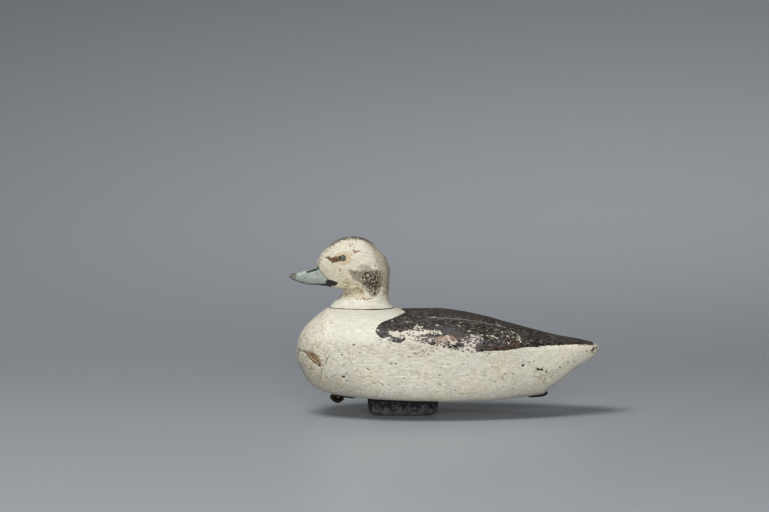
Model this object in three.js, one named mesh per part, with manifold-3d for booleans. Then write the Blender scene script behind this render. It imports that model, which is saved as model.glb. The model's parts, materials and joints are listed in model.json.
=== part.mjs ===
// A carved and painted wooden decoy of a long-tailed duck, in millimetres, +Z up.
// The bill points along -X and the tail along +X. The decoy stands on its keel weight at z = 0,
// and the origin lies under the middle of its length.

import * as THREE from "three";
import { mergeVertices } from "three/addons/utils/BufferGeometryUtils.js";
import Module from "manifold-3d";

const wasm = await Module();
wasm.setup();

// Driving dimensions.
const overallLength = 356;
const gap = 0.3;

const tailX = overallLength / 2;
const billX = -overallLength / 2;
const breastX = -170;

// The body's lines, as [x, value] points: height of the back, height of the underside,
// half the breadth and the height at which the body is broadest.
const backLine = [
  [breastX, 70], [-168.8, 82.2], [-164.8, 93.6], [-156, 105.5], [-142, 117.4], [-132.8, 123.3],
  [-95, 125.7], [-57, 123.3], [-49, 121.6], [-38, 121.8], [-7, 122.2], [20, 118.9], [47, 113.2],
  [75, 105.7], [102, 98.3], [130, 91.4], [157, 86.5], [169, 83.6], [175, 80.4], [tailX, 76.5],
];
const underLine = [
  [breastX, 70], [-168, 59.5], [-164, 52.2], [-158.5, 42.5], [-147, 31.5], [-131, 25.3],
  [-112, 22.9], [-100, 22.3], [-78, 22.1], [-55, 21.7], [10, 20.2], [50, 20.4], [97, 23.5],
  [111, 24.7], [118.5, 29.3], [136, 42.6], [150, 53.4], [168, 64.9], [174.5, 71.1], [tailX, 76.5],
];
const beamLine = [
  [breastX, 0], [-163, 28], [-150, 45.5], [-130, 58], [-100, 67.5], [-55, 72.8], [-10, 72],
  [35, 67], [75, 58], [110, 46.5], [140, 34.5], [160, 25], [172, 16.5], [tailX, 0],
];
const broadestLine = [
  [breastX, 70], [-150, 76], [-100, 83], [-50, 84], [0, 80], [60, 76.5], [100, 77.5],
  [150, 79.5], [tailX, 76.5],
];

// How square a section is: 2 is an ellipse, more is fuller. Amidships the sides stand nearly
// upright and the bottom is flat.
const topFullness = 2.2;
const underFullness = [
  [breastX, 2.1], [-140, 2.3], [-112, 2.9], [-95, 3.8], [-75, 5.2], [-50, 6.5], [0, 6.5], [40, 5.5],
  [80, 4], [110, 3], [tailX, 2],
];

const bodyStations = 54;
const bodySides = 38;

// The head's lines, as [z, value] points: its front, its back and half its breadth.
const seatZ = 123.3;
const crownZ = 205.1;
const footZ = seatZ + gap;
const headFrontLine = [
  [footZ, -132], [127, -129.4], [130.4, -126.6], [134, -121.2], [138, -118], [142, -116],
  [145, -117.6], [146.3, -124.8], [147.5, -134], [152, -138.5], [160, -142], [168, -145.8],
  [174, -146.3], [181, -143.2], [187, -139.8], [195, -131], [200, -124.5], [203.5, -116.5],
  [crownZ, -105],
];
const headBackLine = [
  [footZ, -57], [126, -59.6], [130, -62.6], [135, -63.8], [150, -63.6], [164, -62.5],
  [172, -63.7], [182, -67.8], [189, -75], [196, -80.8], [200.5, -87.5], [203.8, -95],
  [crownZ, -105],
];
const headBreadthLine = [
  [footZ, 26.8], [127, 24.2], [131, 21.6], [135, 20], [141, 19.4], [150, 21], [160, 23.4],
  [168, 24], [176, 23.4], [184, 21.9], [191, 19.4], [197, 15.8], [202, 10.4], [crownZ, 0],
];
const faceTaper = 0.17;
const headLevels = 33;
const headSides = 36;

// The bill's lines, as [x, value] points: culmen, lower edge and half the breadth.
const billRootX = -128;
const culmenLine = [
  [billX, 158.5], [-176.5, 160.9], [-172.5, 162.9], [-167, 164.8], [-158, 167.5],
  [-150, 169.1], [-142, 171], [billRootX, 172],
];
const billUnderLine = [
  [billX, 158.5], [-176, 156.4], [-170, 154.1], [-163, 151.5], [-155, 149.9], [-145, 149.5],
  [-137, 148.2], [billRootX, 147.4],
];
const billBreadthLine = [
  [billX, 0], [-176, 4.9], [-171, 7.5], [-164, 8.8], [-154, 9.3], [-142, 10.2], [billRootX, 11.2],
];
const billEdgeShare = 0.42;
const billFullness = 2.3;
const billStations = 14;
const billSides = 24;

const nostrilAt = [-152.8, 165.8];
const nostrilLength = 9.5;
const nostrilHeight = 1.7;
const nostrilTilt = 0.12;
const nostrilDepth = 1.4;

const eyeAt = [-115.9, 181.2];
const eyeRadius = 3;
const eyeDepth = 2.6;
const eyeDome = 1.3;

// The cast weight: half its length and breadth at the flat bottom, and below the wood.
const keelX = -47.5;
const keelFlat = [31, 11.5];
const keelFull = [38.8, 17.6];
const keelRounding = 6.5;
const keelDraft = 1.4;
const keelHeight = 25;
const keelFullness = 5;
const keelSides = 32;

// The leather straps lie this far below the wood. The line tie is rolled into a loop at its front
// end, and tieLoop is the loop's centre line from its fold to its free end, as [x, z] points.
// The strap is thickest at the fold and thinnest at the free end.
const strapGap = 0.4;
const strapWidth = 13;
const tieThickness = 2.35;
const tieFoldThickness = 3.2;
const tieEndThickness = 1.7;
const tieTail = -101.8;
const tieLoop = [
  [-128.8, 22.4], [-130, 20.8], [-128.4, 18], [-125.3, 15.7], [-122.4, 15.05], [-119.5, 15.6],
  [-117, 17.3], [-115.4, 18.8],
];
const tieTackX = -106;
const sternStrapFront = 95.6;
const sternStrapEnd = 116.9;
const sternThin = 2.3;
const sternThick = 3.8;
const sternTackX = 101;
const tackRadius = 2.5;
const tackHeight = 0.9;

const paintedWood = { color: 0xd6d1c0, roughness: 0.7, metalness: 0 };
const glass = { color: 0x3c4240, roughness: 0.1, metalness: 0 };
const lead = { color: 0x44474a, roughness: 0.65, metalness: 0.6 };
const leather = { color: 0x2b211a, roughness: 0.85, metalness: 0 };
const rustyIron = { color: 0x43322a, roughness: 0.8, metalness: 0.4 };

const duck = new THREE.Group();

function addPiece(name, geometry, finish) {
  const mesh = new THREE.Mesh(geometry, new THREE.MeshStandardMaterial(finish));
  mesh.name = name;
  duck.add(mesh);
  return mesh;
}

// A smooth line through the points, without overshoot. Places are compared after stretch,
// which makes the line run out square to the axis at a round end.
function smoothLine(points, stretch = (x) => x) {
  const at = points.map(([x]) => stretch(x));
  const value = points.map(([, v]) => v);
  const last = at.length - 1;
  const rise = at.slice(1).map((a, i) => (value[i + 1] - value[i]) / (a - at[i]));
  const slope = at.map((_, i) => {
    if (i === 0) return rise[0];
    if (i === last) return rise[last - 1];
    const product = rise[i - 1] * rise[i];
    return product > 0 ? (2 * product) / (rise[i - 1] + rise[i]) : 0;
  });
  return (x) => {
    const p = Math.min(Math.max(stretch(x), at[0]), at[last]);
    let i = 0;
    while (i < last - 1 && p > at[i + 1]) i += 1;
    const h = at[i + 1] - at[i];
    const t = (p - at[i]) / h;
    const bend = 2 * t ** 3 - 3 * t ** 2;
    return (1 + bend) * value[i] - bend * value[i + 1]
      + h * ((t ** 3 - 2 * t ** 2 + t) * slope[i] + (t ** 3 - t ** 2) * slope[i + 1]);
  };
}

// A closed body through rings of points, with a fan of triangles at each end.
// Seen from the last ring, each ring turns anticlockwise.
function loft(rings) {
  const sides = rings[0].length;
  const positions = rings.flat().flatMap((p) => [p.x, p.y, p.z]);
  const index = [];
  for (let r = 0; r < rings.length - 1; r += 1) {
    for (let s = 0; s < sides; s += 1) {
      const a = r * sides + s;
      const b = r * sides + ((s + 1) % sides);
      index.push(a, b, a + sides, b, b + sides, a + sides);
    }
  }
  for (const [ring, turn] of [[0, false], [rings.length - 1, true]]) {
    const middle = new THREE.Vector3();
    rings[ring].forEach((p) => middle.addScaledVector(p, 1 / sides));
    const hub = positions.length / 3;
    positions.push(middle.x, middle.y, middle.z);
    for (let s = 0; s < sides; s += 1) {
      const a = ring * sides + s;
      const b = ring * sides + ((s + 1) % sides);
      index.push(hub, turn ? a : b, turn ? b : a);
    }
  }
  const geometry = new THREE.BufferGeometry();
  geometry.setAttribute("position", new THREE.Float32BufferAttribute(positions, 3));
  geometry.setIndex(index);
  return geometry;
}

function toSolid(geometry) {
  const bare = geometry.clone();
  bare.deleteAttribute("normal");
  bare.deleteAttribute("uv");
  const merged = mergeVertices(bare, 1e-4);
  return new wasm.Manifold(new wasm.Mesh({
    numProp: 3,
    vertProperties: new Float32Array(merged.attributes.position.array),
    triVerts: new Uint32Array(merged.index.array),
  }));
}

function toGeometry(solid) {
  const mesh = solid.getMesh();
  const geometry = new THREE.BufferGeometry();
  geometry.setAttribute("position", new THREE.BufferAttribute(mesh.vertProperties, 3));
  geometry.setIndex(new THREE.BufferAttribute(mesh.triVerts, 1));
  return geometry;
}

function power(value, exponent) {
  return Math.sign(value) * Math.abs(value) ** exponent;
}

// Body: upright sections along X, round at the breast and at the tail tip.
const alongBody = (x) => Math.acos(1 - (2 * (x - breastX)) / (tailX - breastX));
const bodyTop = smoothLine(backLine, alongBody);
const bodyUnder = smoothLine(underLine, alongBody);
const bodyBeam = smoothLine(beamLine, alongBody);
const bodyBroadest = smoothLine(broadestLine, alongBody);
const bodyUnderFullness = smoothLine(underFullness);

function bodyRing(x) {
  const ring = [];
  for (let s = 0; s < bodySides; s += 1) {
    const angle = (2 * Math.PI * s) / bodySides;
    const up = Math.sin(angle) >= 0;
    const fullness = up ? topFullness : bodyUnderFullness(x);
    const height = up ? bodyTop(x) - bodyBroadest(x) : bodyBroadest(x) - bodyUnder(x);
    ring.push(new THREE.Vector3(
      x,
      bodyBeam(x) * power(Math.cos(angle), 2 / fullness),
      bodyBroadest(x) + height * power(Math.sin(angle), 2 / fullness),
    ));
  }
  return ring;
}

function bodyGeometry() {
  const rings = [];
  for (let i = 0; i < bodyStations; i += 1) {
    const share = (i + 0.35) / (bodyStations - 0.3);
    const x = breastX + (tailX - breastX) * (1 - Math.cos(Math.PI * share)) / 2;
    rings.push(bodyRing(x));
  }
  return loft(rings);
}

// The flat seat that the head stands on, planed across the top of the body.
function seatCutter() {
  const cutter = new THREE.BoxGeometry(100, 120, 20);
  cutter.translate((headFrontLine[0][1] + headBackLine[0][1]) / 2, 0, seatZ + 10);
  return toSolid(cutter);
}

const bodySolid = toSolid(bodyGeometry()).subtract(seatCutter());

// Head: level sections from the neck's foot to the crown.
const upHead = (z) => -Math.sqrt(Math.max(crownZ - z, 0));
const headFront = smoothLine(headFrontLine, upHead);
const headBack = smoothLine(headBackLine, upHead);
const headBreadth = smoothLine(headBreadthLine, upHead);

function headRing(z) {
  const middle = (headFront(z) + headBack(z)) / 2;
  const half = (headBack(z) - headFront(z)) / 2;
  const ring = [];
  for (let s = 0; s < headSides; s += 1) {
    const angle = (2 * Math.PI * s) / headSides;
    const narrowing = 1 + faceTaper * Math.cos(angle);
    ring.push(new THREE.Vector3(
      middle + half * Math.cos(angle),
      headBreadth(z) * Math.sin(angle) * narrowing,
      z,
    ));
  }
  return ring;
}

function headGeometry() {
  const rings = [];
  const low = upHead(footZ);
  for (let i = 0; i < headLevels; i += 1) {
    const share = i / (headLevels - 0.6);
    rings.push(headRing(crownZ - (low * (1 - share)) ** 2));
  }
  return loft(rings);
}

// The distance of the head's side from its middle plane.
function headSide(x, z) {
  const middle = (headFront(z) + headBack(z)) / 2;
  const along = (x - middle) / ((headBack(z) - headFront(z)) / 2);
  return headBreadth(z) * Math.sqrt(1 - along ** 2) * (1 + faceTaper * along);
}

const alongBill = (x) => Math.sqrt(x - billX);
const billTop = smoothLine(culmenLine, alongBill);
const billUnder = smoothLine(billUnderLine, alongBill);
const billBreadth = smoothLine(billBreadthLine, alongBill);

function billGeometry() {
  const rings = [];
  for (let i = 0; i < billStations; i += 1) {
    const share = (i + 0.4) / (billStations - 0.6);
    const x = billX + (billRootX - billX) * share ** 2;
    const edge = billUnder(x) + billEdgeShare * (billTop(x) - billUnder(x));
    const ring = [];
    for (let s = 0; s < billSides; s += 1) {
      const angle = (2 * Math.PI * s) / billSides;
      const height = Math.sin(angle) >= 0 ? billTop(x) - edge : edge - billUnder(x);
      ring.push(new THREE.Vector3(
        x,
        billBreadth(x) * power(Math.cos(angle), 2 / billFullness),
        edge + height * power(Math.sin(angle), 2 / billFullness),
      ));
    }
    rings.push(ring);
  }
  return loft(rings);
}

function billSide(x, z) {
  const edge = billUnder(x) + billEdgeShare * (billTop(x) - billUnder(x));
  const height = z > edge ? billTop(x) - edge : edge - billUnder(x);
  const share = Math.abs(z - edge) / height;
  return billBreadth(x) * (1 - share ** billFullness) ** (1 / billFullness);
}

// A carved slit on one side of the bill.
function nostrilCutter(side) {
  const slit = new THREE.SphereGeometry(0.5, 16, 10);
  slit.scale(nostrilLength, 2 * nostrilDepth, nostrilHeight);
  slit.rotateY(nostrilTilt);
  slit.translate(nostrilAt[0], side * billSide(...nostrilAt), nostrilAt[1]);
  return toSolid(slit);
}

function eyeSocket(side) {
  const depth = eyeDepth + gap;
  const outside = 5;
  const socket = new THREE.CylinderGeometry(eyeRadius + gap, eyeRadius + gap, depth + outside, 24);
  socket.translate(eyeAt[0], side * (headSide(...eyeAt) + (outside - depth) / 2), eyeAt[1]);
  return toSolid(socket);
}

let headSolid = toSolid(headGeometry()).add(toSolid(billGeometry()));
for (const side of [-1, 1]) {
  headSolid = headSolid.subtract(eyeSocket(side)).subtract(nostrilCutter(side));
}

// A glass eye: a short plug with a domed face that looks outward.
function eyeGeometry(side) {
  const dome = 6;
  const outline = [new THREE.Vector2(0, -eyeDepth), new THREE.Vector2(eyeRadius, -eyeDepth)];
  for (let i = 0; i <= dome; i += 1) {
    const angle = (Math.PI / 2) * (i / dome);
    outline.push(new THREE.Vector2(eyeRadius * Math.cos(angle), eyeDome * Math.sin(angle)));
  }
  outline[outline.length - 1].x = 0;
  const eye = new THREE.LatheGeometry(outline, 18);
  if (side < 0) eye.rotateZ(Math.PI);
  eye.translate(eyeAt[0], side * headSide(...eyeAt), eyeAt[1]);
  return eye;
}

// The weight: level sections that swell from a flat bottom. Its top follows the wood above it.
function keelGeometry() {
  const rings = [];
  const levels = [0, 0.03, 0.12, 0.27, 0.48, 0.73, 1].map((share) => share * keelRounding);
  for (const z of [...levels, keelHeight]) {
    const swell = Math.sqrt(1 - (1 - Math.min(z / keelRounding, 1)) ** 2);
    const draft = (keelDraft * Math.max(z - keelRounding, 0)) / (keelHeight - keelRounding);
    const [long, wide] = [0, 1].map((i) => THREE.MathUtils.lerp(keelFlat[i], keelFull[i], swell) + draft);
    const ring = [];
    for (let s = 0; s < keelSides; s += 1) {
      const angle = (2 * Math.PI * s) / keelSides;
      ring.push(new THREE.Vector3(
        keelX + long * power(Math.cos(angle), 2 / keelFullness),
        wide * power(Math.sin(angle), 2 / keelFullness),
        z,
      ));
    }
    rings.push(ring);
  }
  return loft(rings);
}

const keelSolid = toSolid(keelGeometry()).subtract(bodySolid.translate([0, 0, -gap]));

// A strap bent along a centre line in the plane y = 0. thickness gives it at each share of the length.
function strapGeometry(centre, thickness, steps) {
  const curve = new THREE.CatmullRomCurve3(centre.map(([x, z]) => new THREE.Vector3(x, z, 0)));
  const upper = [];
  const lower = [];
  for (let i = 0; i <= steps; i += 1) {
    const p = curve.getPointAt(i / steps);
    const along = curve.getTangentAt(i / steps);
    const half = thickness(i / steps) / 2;
    upper.push(new THREE.Vector2(p.x - along.y * half, p.y + along.x * half));
    lower.unshift(new THREE.Vector2(p.x + along.y * half, p.y - along.x * half));
  }
  const shape = new THREE.Shape([...upper, ...lower]);
  const strap = new THREE.ExtrudeGeometry(shape, { depth: strapWidth, bevelEnabled: false });
  strap.rotateX(Math.PI / 2);
  strap.translate(0, strapWidth / 2, 0);
  return strap;
}

// The slope of a line at x.
function slopeOf(line, x) {
  const reach = 2;
  return (line(x + reach) - line(x - reach)) / (2 * reach);
}

// The centre of a strap of this thickness that lies against the wood at x.
function underWood(x, thickness) {
  const slope = slopeOf(bodyUnder, x);
  const down = (strapGap + thickness / 2) / Math.hypot(1, slope);
  return [x + slope * down, bodyUnder(x) - down];
}

// The line tie's thickness at a share of its length, from the free end through the fold to the tail.
const tieThicknessAlong = smoothLine([
  [0, tieEndThickness], [0.2, tieThickness], [0.34, tieThickness], [0.43, tieFoldThickness],
  [0.52, tieThickness], [1, tieThickness],
]);

function tieGeometry() {
  const against = [tieTail, -110, -118, -124.5].map((x) => underWood(x, tieThickness));
  return strapGeometry([...against, ...tieLoop].reverse(), tieThicknessAlong, 44);
}

function sternThickness(share) {
  return THREE.MathUtils.lerp(sternThin, sternThick, share);
}

function sternThicknessAt(x) {
  return sternThickness((x - sternStrapFront) / (sternStrapEnd - sternStrapFront));
}

function sternStrapGeometry() {
  const count = 6;
  const centre = [];
  for (let i = 0; i <= count; i += 1) {
    const x = THREE.MathUtils.lerp(sternStrapFront, sternStrapEnd, i / count);
    centre.push(underWood(x, sternThickness(i / count)));
  }
  return strapGeometry(centre, sternThickness, 12);
}

// A flat-domed tack head under a strap, tilted with its lower face. thickness is the strap's at x.
function tackGeometry(x, thickness) {
  const lowerFace = (at) => bodyUnder(at) - strapGap - thickness(at);
  const outline = [new THREE.Vector2(0, -tackHeight)];
  for (let i = 1; i <= 4; i += 1) {
    const angle = (Math.PI / 2) * (i / 4);
    outline.push(new THREE.Vector2(tackRadius * Math.sin(angle), -tackHeight * Math.cos(angle)));
  }
  outline.push(new THREE.Vector2(0, 0));
  const tack = new THREE.LatheGeometry(outline, 16);
  tack.rotateX(Math.PI / 2);
  tack.rotateY(-Math.atan(slopeOf(lowerFace, x)));
  tack.translate(x, 0, lowerFace(x) - gap);
  return tack;
}

addPiece("decoy_body", toGeometry(bodySolid), paintedWood);
addPiece("decoy_head", toGeometry(headSolid), paintedWood);
addPiece("eye_left", eyeGeometry(-1), glass);
addPiece("eye_right", eyeGeometry(1), glass);
addPiece("keel_weight", toGeometry(keelSolid), lead);
addPiece("line_tie", tieGeometry(), leather);
addPiece("line_tie_tack", tackGeometry(tieTackX, () => tieThickness), rustyIron);
addPiece("stern_strap", sternStrapGeometry(), leather);
addPiece("stern_strap_tack", tackGeometry(sternTackX, sternThicknessAt), rustyIron);

export default duck;
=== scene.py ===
import json
import math
import bmesh
import bpy
import numpy as np
from mathutils import Matrix, Vector, noise

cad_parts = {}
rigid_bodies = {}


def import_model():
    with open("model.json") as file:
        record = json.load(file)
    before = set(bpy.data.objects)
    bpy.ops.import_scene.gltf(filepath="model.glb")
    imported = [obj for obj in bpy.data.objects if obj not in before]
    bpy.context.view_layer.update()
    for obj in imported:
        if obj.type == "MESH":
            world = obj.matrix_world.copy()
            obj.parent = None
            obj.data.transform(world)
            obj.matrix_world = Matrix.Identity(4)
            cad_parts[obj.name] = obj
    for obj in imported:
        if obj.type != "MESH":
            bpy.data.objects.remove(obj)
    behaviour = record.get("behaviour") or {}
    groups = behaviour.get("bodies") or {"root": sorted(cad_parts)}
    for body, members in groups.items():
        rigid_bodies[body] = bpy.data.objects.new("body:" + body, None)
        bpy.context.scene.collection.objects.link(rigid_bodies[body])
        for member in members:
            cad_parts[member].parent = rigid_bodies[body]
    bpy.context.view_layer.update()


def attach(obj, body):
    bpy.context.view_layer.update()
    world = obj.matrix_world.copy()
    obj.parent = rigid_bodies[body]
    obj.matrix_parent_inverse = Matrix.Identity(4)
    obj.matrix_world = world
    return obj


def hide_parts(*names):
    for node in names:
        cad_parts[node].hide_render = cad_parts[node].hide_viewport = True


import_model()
mm = 0.001  # sizes below are in millimetres, Blender's are in metres

# The part's own lines, as [place, value] points. The bill is at -X and the tail at +X.
body = {
    "breastX": -170, "tailX": 178, "seatZ": 123.3, "topFullness": 2.2,
    "back": [
        [-170, 70], [-168.8, 82.2], [-164.8, 93.6], [-156, 105.5], [-142, 117.4], [-132.8, 123.3],
        [-95, 125.7], [-57, 123.3], [-49, 121.6], [-38, 121.8], [-7, 122.2], [20, 118.9], [47, 113.2],
        [75, 105.7], [102, 98.3], [130, 91.4], [157, 86.5], [169, 83.6], [175, 80.4], [178, 76.5],
    ],
    "under": [
        [-170, 70], [-168, 59.5], [-164, 52.2], [-158.5, 42.5], [-147, 31.5], [-131, 25.3], [-112, 22.9],
        [-100, 22.3], [-78, 22.1], [-55, 21.7], [10, 20.2], [50, 20.4], [97, 23.5], [111, 24.7],
        [118.5, 29.3], [136, 42.6], [150, 53.4], [168, 64.9], [174.5, 71.1], [178, 76.5],
    ],
    "beam": [
        [-170, 0], [-163, 28], [-150, 45.5], [-130, 58], [-100, 67.5], [-55, 72.8], [-10, 72], [35, 67],
        [75, 58], [110, 46.5], [140, 34.5], [160, 25], [172, 16.5], [178, 0],
    ],
    "broadest": [
        [-170, 70], [-150, 76], [-100, 83], [-50, 84], [0, 80], [60, 76.5], [100, 77.5], [150, 79.5],
        [178, 76.5],
    ],
    "underFullness": [
        [-170, 2.1], [-140, 2.3], [-112, 2.9], [-95, 3.8], [-75, 5.2], [-50, 6.5], [0, 6.5], [40, 5.5],
        [80, 4], [110, 3], [178, 2],
    ],
    "stations": 250, "around": 260, "sectionSteps": 1441, "endCrowding": 0.5, "endInset": 0.35,
    "unevenness": [(0.28, 26, 1), (0.07, 7, 2)],  # knife, then sandpaper: height, span, seed
    "finerRound": 1.6, "finerRoundChip": 1.5,
}
noiseShift = Vector((7.3, 3.1, 5.7))  # how far each seed moves the noise


# A smooth line through [place, value] points that never overshoots them.
def smoothLine(points, stretch=lambda x: x):
    at = stretch(np.array([p[0] for p in points], float))
    value = np.array([p[1] for p in points], float)
    rise = np.diff(value) / np.diff(at)
    product = rise[:-1] * rise[1:]
    total = np.where(product > 0, rise[:-1] + rise[1:], 1)
    slope = np.concatenate([rise[:1], np.where(product > 0, 2 * product / total, 0), rise[-1:]])

    def line(x):
        p = np.clip(stretch(np.asarray(x, float)), at[0], at[-1])
        i = np.clip(np.searchsorted(at, p) - 1, 0, len(at) - 2)
        h = at[i + 1] - at[i]
        t = (p - at[i]) / h
        bend = 2 * t ** 3 - 3 * t ** 2
        return ((1 + bend) * value[i] - bend * value[i + 1]
                + h * ((t ** 3 - 2 * t ** 2 + t) * slope[i] + (t ** 3 - t ** 2) * slope[i + 1]))
    return line


def power(value, exponent):
    return np.sign(value) * np.abs(value) ** exponent


def smoothstep(low, high, value):
    share = np.clip((value - low) / (high - low), 0, 1)
    return share * share * (3 - 2 * share)


def alongBody(x):
    share = (x - body["breastX"]) / (body["tailX"] - body["breastX"])
    return np.arccos(np.clip(1 - 2 * share, -1, 1))


bodyTop, bodyUnder, bodyBeam, bodyBroadest = (
    smoothLine(body[key], alongBody) for key in ("back", "under", "beam", "broadest"))
bodyUnderFullness = smoothLine(body["underFullness"])


# One upright section of the body, evenly spaced from the middle of the back down the duck's left
# side (-Y) and up the other. Also gives each point's distance from the back along the section.
def bodySection(x, count):
    angle = np.linspace(0.5, 2.5, body["sectionSteps"]) * math.pi
    up = np.sin(angle) >= -1e-9
    fullness = np.where(up, body["topFullness"], bodyUnderFullness(x))
    rise = np.where(up, bodyTop(x) - bodyBroadest(x), bodyBroadest(x) - bodyUnder(x))
    y = bodyBeam(x) * power(np.cos(angle), 2 / fullness)
    z = bodyBroadest(x) + rise * power(np.sin(angle), 2 / fullness)
    z = np.minimum(z, body["seatZ"])
    walked = np.concatenate([[0], np.cumsum(np.hypot(np.diff(y), np.diff(z)))])
    at = np.linspace(0, walked[-1], count, endpoint=False)
    ring = np.stack([np.full(count, x), np.interp(at, walked, y), np.interp(at, walked, z)], axis=1)
    return ring, np.minimum(at, walked[-1] - at)


# A closed mesh through rings of points, with a fan at each end. Extra numbers ride on the points.
def loftMesh(name, rings, extras={}):
    count, sides = len(rings), len(rings[0])
    points = np.concatenate([np.concatenate(rings), [rings[0].mean(0), rings[-1].mean(0)]])
    faces = []
    for r in range(count - 1):
        for s in range(sides):
            a, b = r * sides + s, r * sides + (s + 1) % sides
            faces.append((a, b, b + sides, a + sides))
    for ring, hub in ((0, count * sides), (count - 1, count * sides + 1)):
        for s in range(sides):
            pair = (ring * sides + s, ring * sides + (s + 1) % sides)
            faces.append((hub, *(pair if ring else pair[::-1])))
    mesh = bpy.data.meshes.new(name)
    mesh.from_pydata((points * mm).tolist(), [], faces)
    for key, rows in extras.items():
        keepValues(mesh, key, np.concatenate([np.concatenate(rows), [rows[0].mean(), rows[-1].mean()]]))
    mesh.update()
    return mesh


def addObject(name, data):
    made = bpy.data.objects.new(name, data)
    bpy.context.scene.collection.objects.link(made)
    return made


# A mesh's positions or normals, a row for each point.
def vertexRows(mesh, key):
    flat = np.zeros(len(mesh.vertices) * 3, np.float32)
    mesh.vertices.foreach_get(key, flat)
    return flat.reshape(-1, 3).astype(float)


def pointsOf(mesh):
    return vertexRows(mesh, "co") / mm


def valuesOf(mesh, key):
    flat = np.zeros(len(mesh.vertices), np.float32)
    mesh.attributes[key].data.foreach_get("value", flat)
    return flat.astype(float)


# Puts values on a mesh's points as an attribute, for its finish to follow.
def keepValues(mesh, key, values, limit=None):
    if limit:
        values = np.clip(values, -limit, limit)
    layer = mesh.attributes.new(key, "FLOAT", "POINT")
    layer.data.foreach_set("value", np.asarray(values, np.float32))


# Moves every point out along its normal, or in where the relief is negative.
def carve(mesh, relief):
    points = pointsOf(mesh) + vertexRows(mesh, "normal") * relief[:, None]
    mesh.vertices.foreach_set("co", (points * mm).astype(np.float32).ravel())
    mesh.update()


# The sum of soft bumps, each of a height, a span in mm and a seed.
def unevenness(points, *bumps):
    return sum(height * np.array([noise.noise(Vector(p) / span + seed * noiseShift) for p in points])
               for height, span, seed in bumps)


def fromSegment(places, a, b):
    span = b - a
    share = np.clip(((places - a) @ span) / max(span @ span, 1e-9), 0, 1)
    return np.linalg.norm(places - a - share[:, None] * span, axis=1)


# How far each place is from a path, in mm.
def fromPath(places, path):
    path = np.array(path, float)
    return np.min([fromSegment(places, a, b) for a, b in zip(path[:-1], path[1:])], axis=0)


# How far each place lies inside an outline, in mm, and negative outside it.
def insideOf(places, outline, closed=True):
    corners = np.array(outline, float)
    ends = np.roll(corners, -1, axis=0)
    inside = np.zeros(len(places), bool)
    for a, b in zip(corners, ends):
        crosses = (a[1] > places[:, 1]) != (b[1] > places[:, 1])
        reach = a[0] + (places[:, 1] - a[1]) * (b[0] - a[0]) / (b[1] - a[1] if b[1] != a[1] else 1)
        inside ^= crosses & (places[:, 0] < reach)
    nearest = fromPath(places, [*corners, corners[0]] if closed else corners)
    return np.where(inside, nearest, -nearest)


# How far each place lies inside the deepest of some strokes, each a path and its radius.
def deepest(places, strokes, least=-9.0):
    best = np.full(len(places), least)
    for path, radius in strokes:
        best = np.maximum(best, radius - fromPath(places, path))
    return best


def strokeEnds(x, y, length, tilt):
    step = np.array([math.cos(tilt), math.sin(tilt)]) * length / 2
    return [(x, y) - step, (x, y) + step]


print("body: lofting")
share = (np.arange(body["stations"]) + body["endInset"]) / (body["stations"] - 1 + 2 * body["endInset"])
share = share - body["endCrowding"] * np.sin(2 * math.pi * share) / (2 * math.pi)
bodyX = body["breastX"] + (body["tailX"] - body["breastX"]) * share
sections = [bodySection(x, body["around"]) for x in bodyX]
bodyRings = np.array([ring for ring, _ in sections])
bodyGirths = np.array([girth for _, girth in sections])


# The point of the wood at x, this far down from the middle of the back. side is -1 for the left.
def onWood(x, girth, side=-1):
    r = int(np.clip(np.searchsorted(bodyX, x), 1, len(bodyX) - 1))
    share = (x - bodyX[r - 1]) / (bodyX[r] - bodyX[r - 1])
    half = body["around"] // 2
    found = [np.array([np.interp(girth, bodyGirths[k][:half], bodyRings[k][:half, axis])
                       for axis in range(3)]) for k in (r - 1, r)]
    point = found[0] * (1 - share) + found[1] * share
    return point * (1, 1 if side < 0 else -1, 1)


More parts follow.
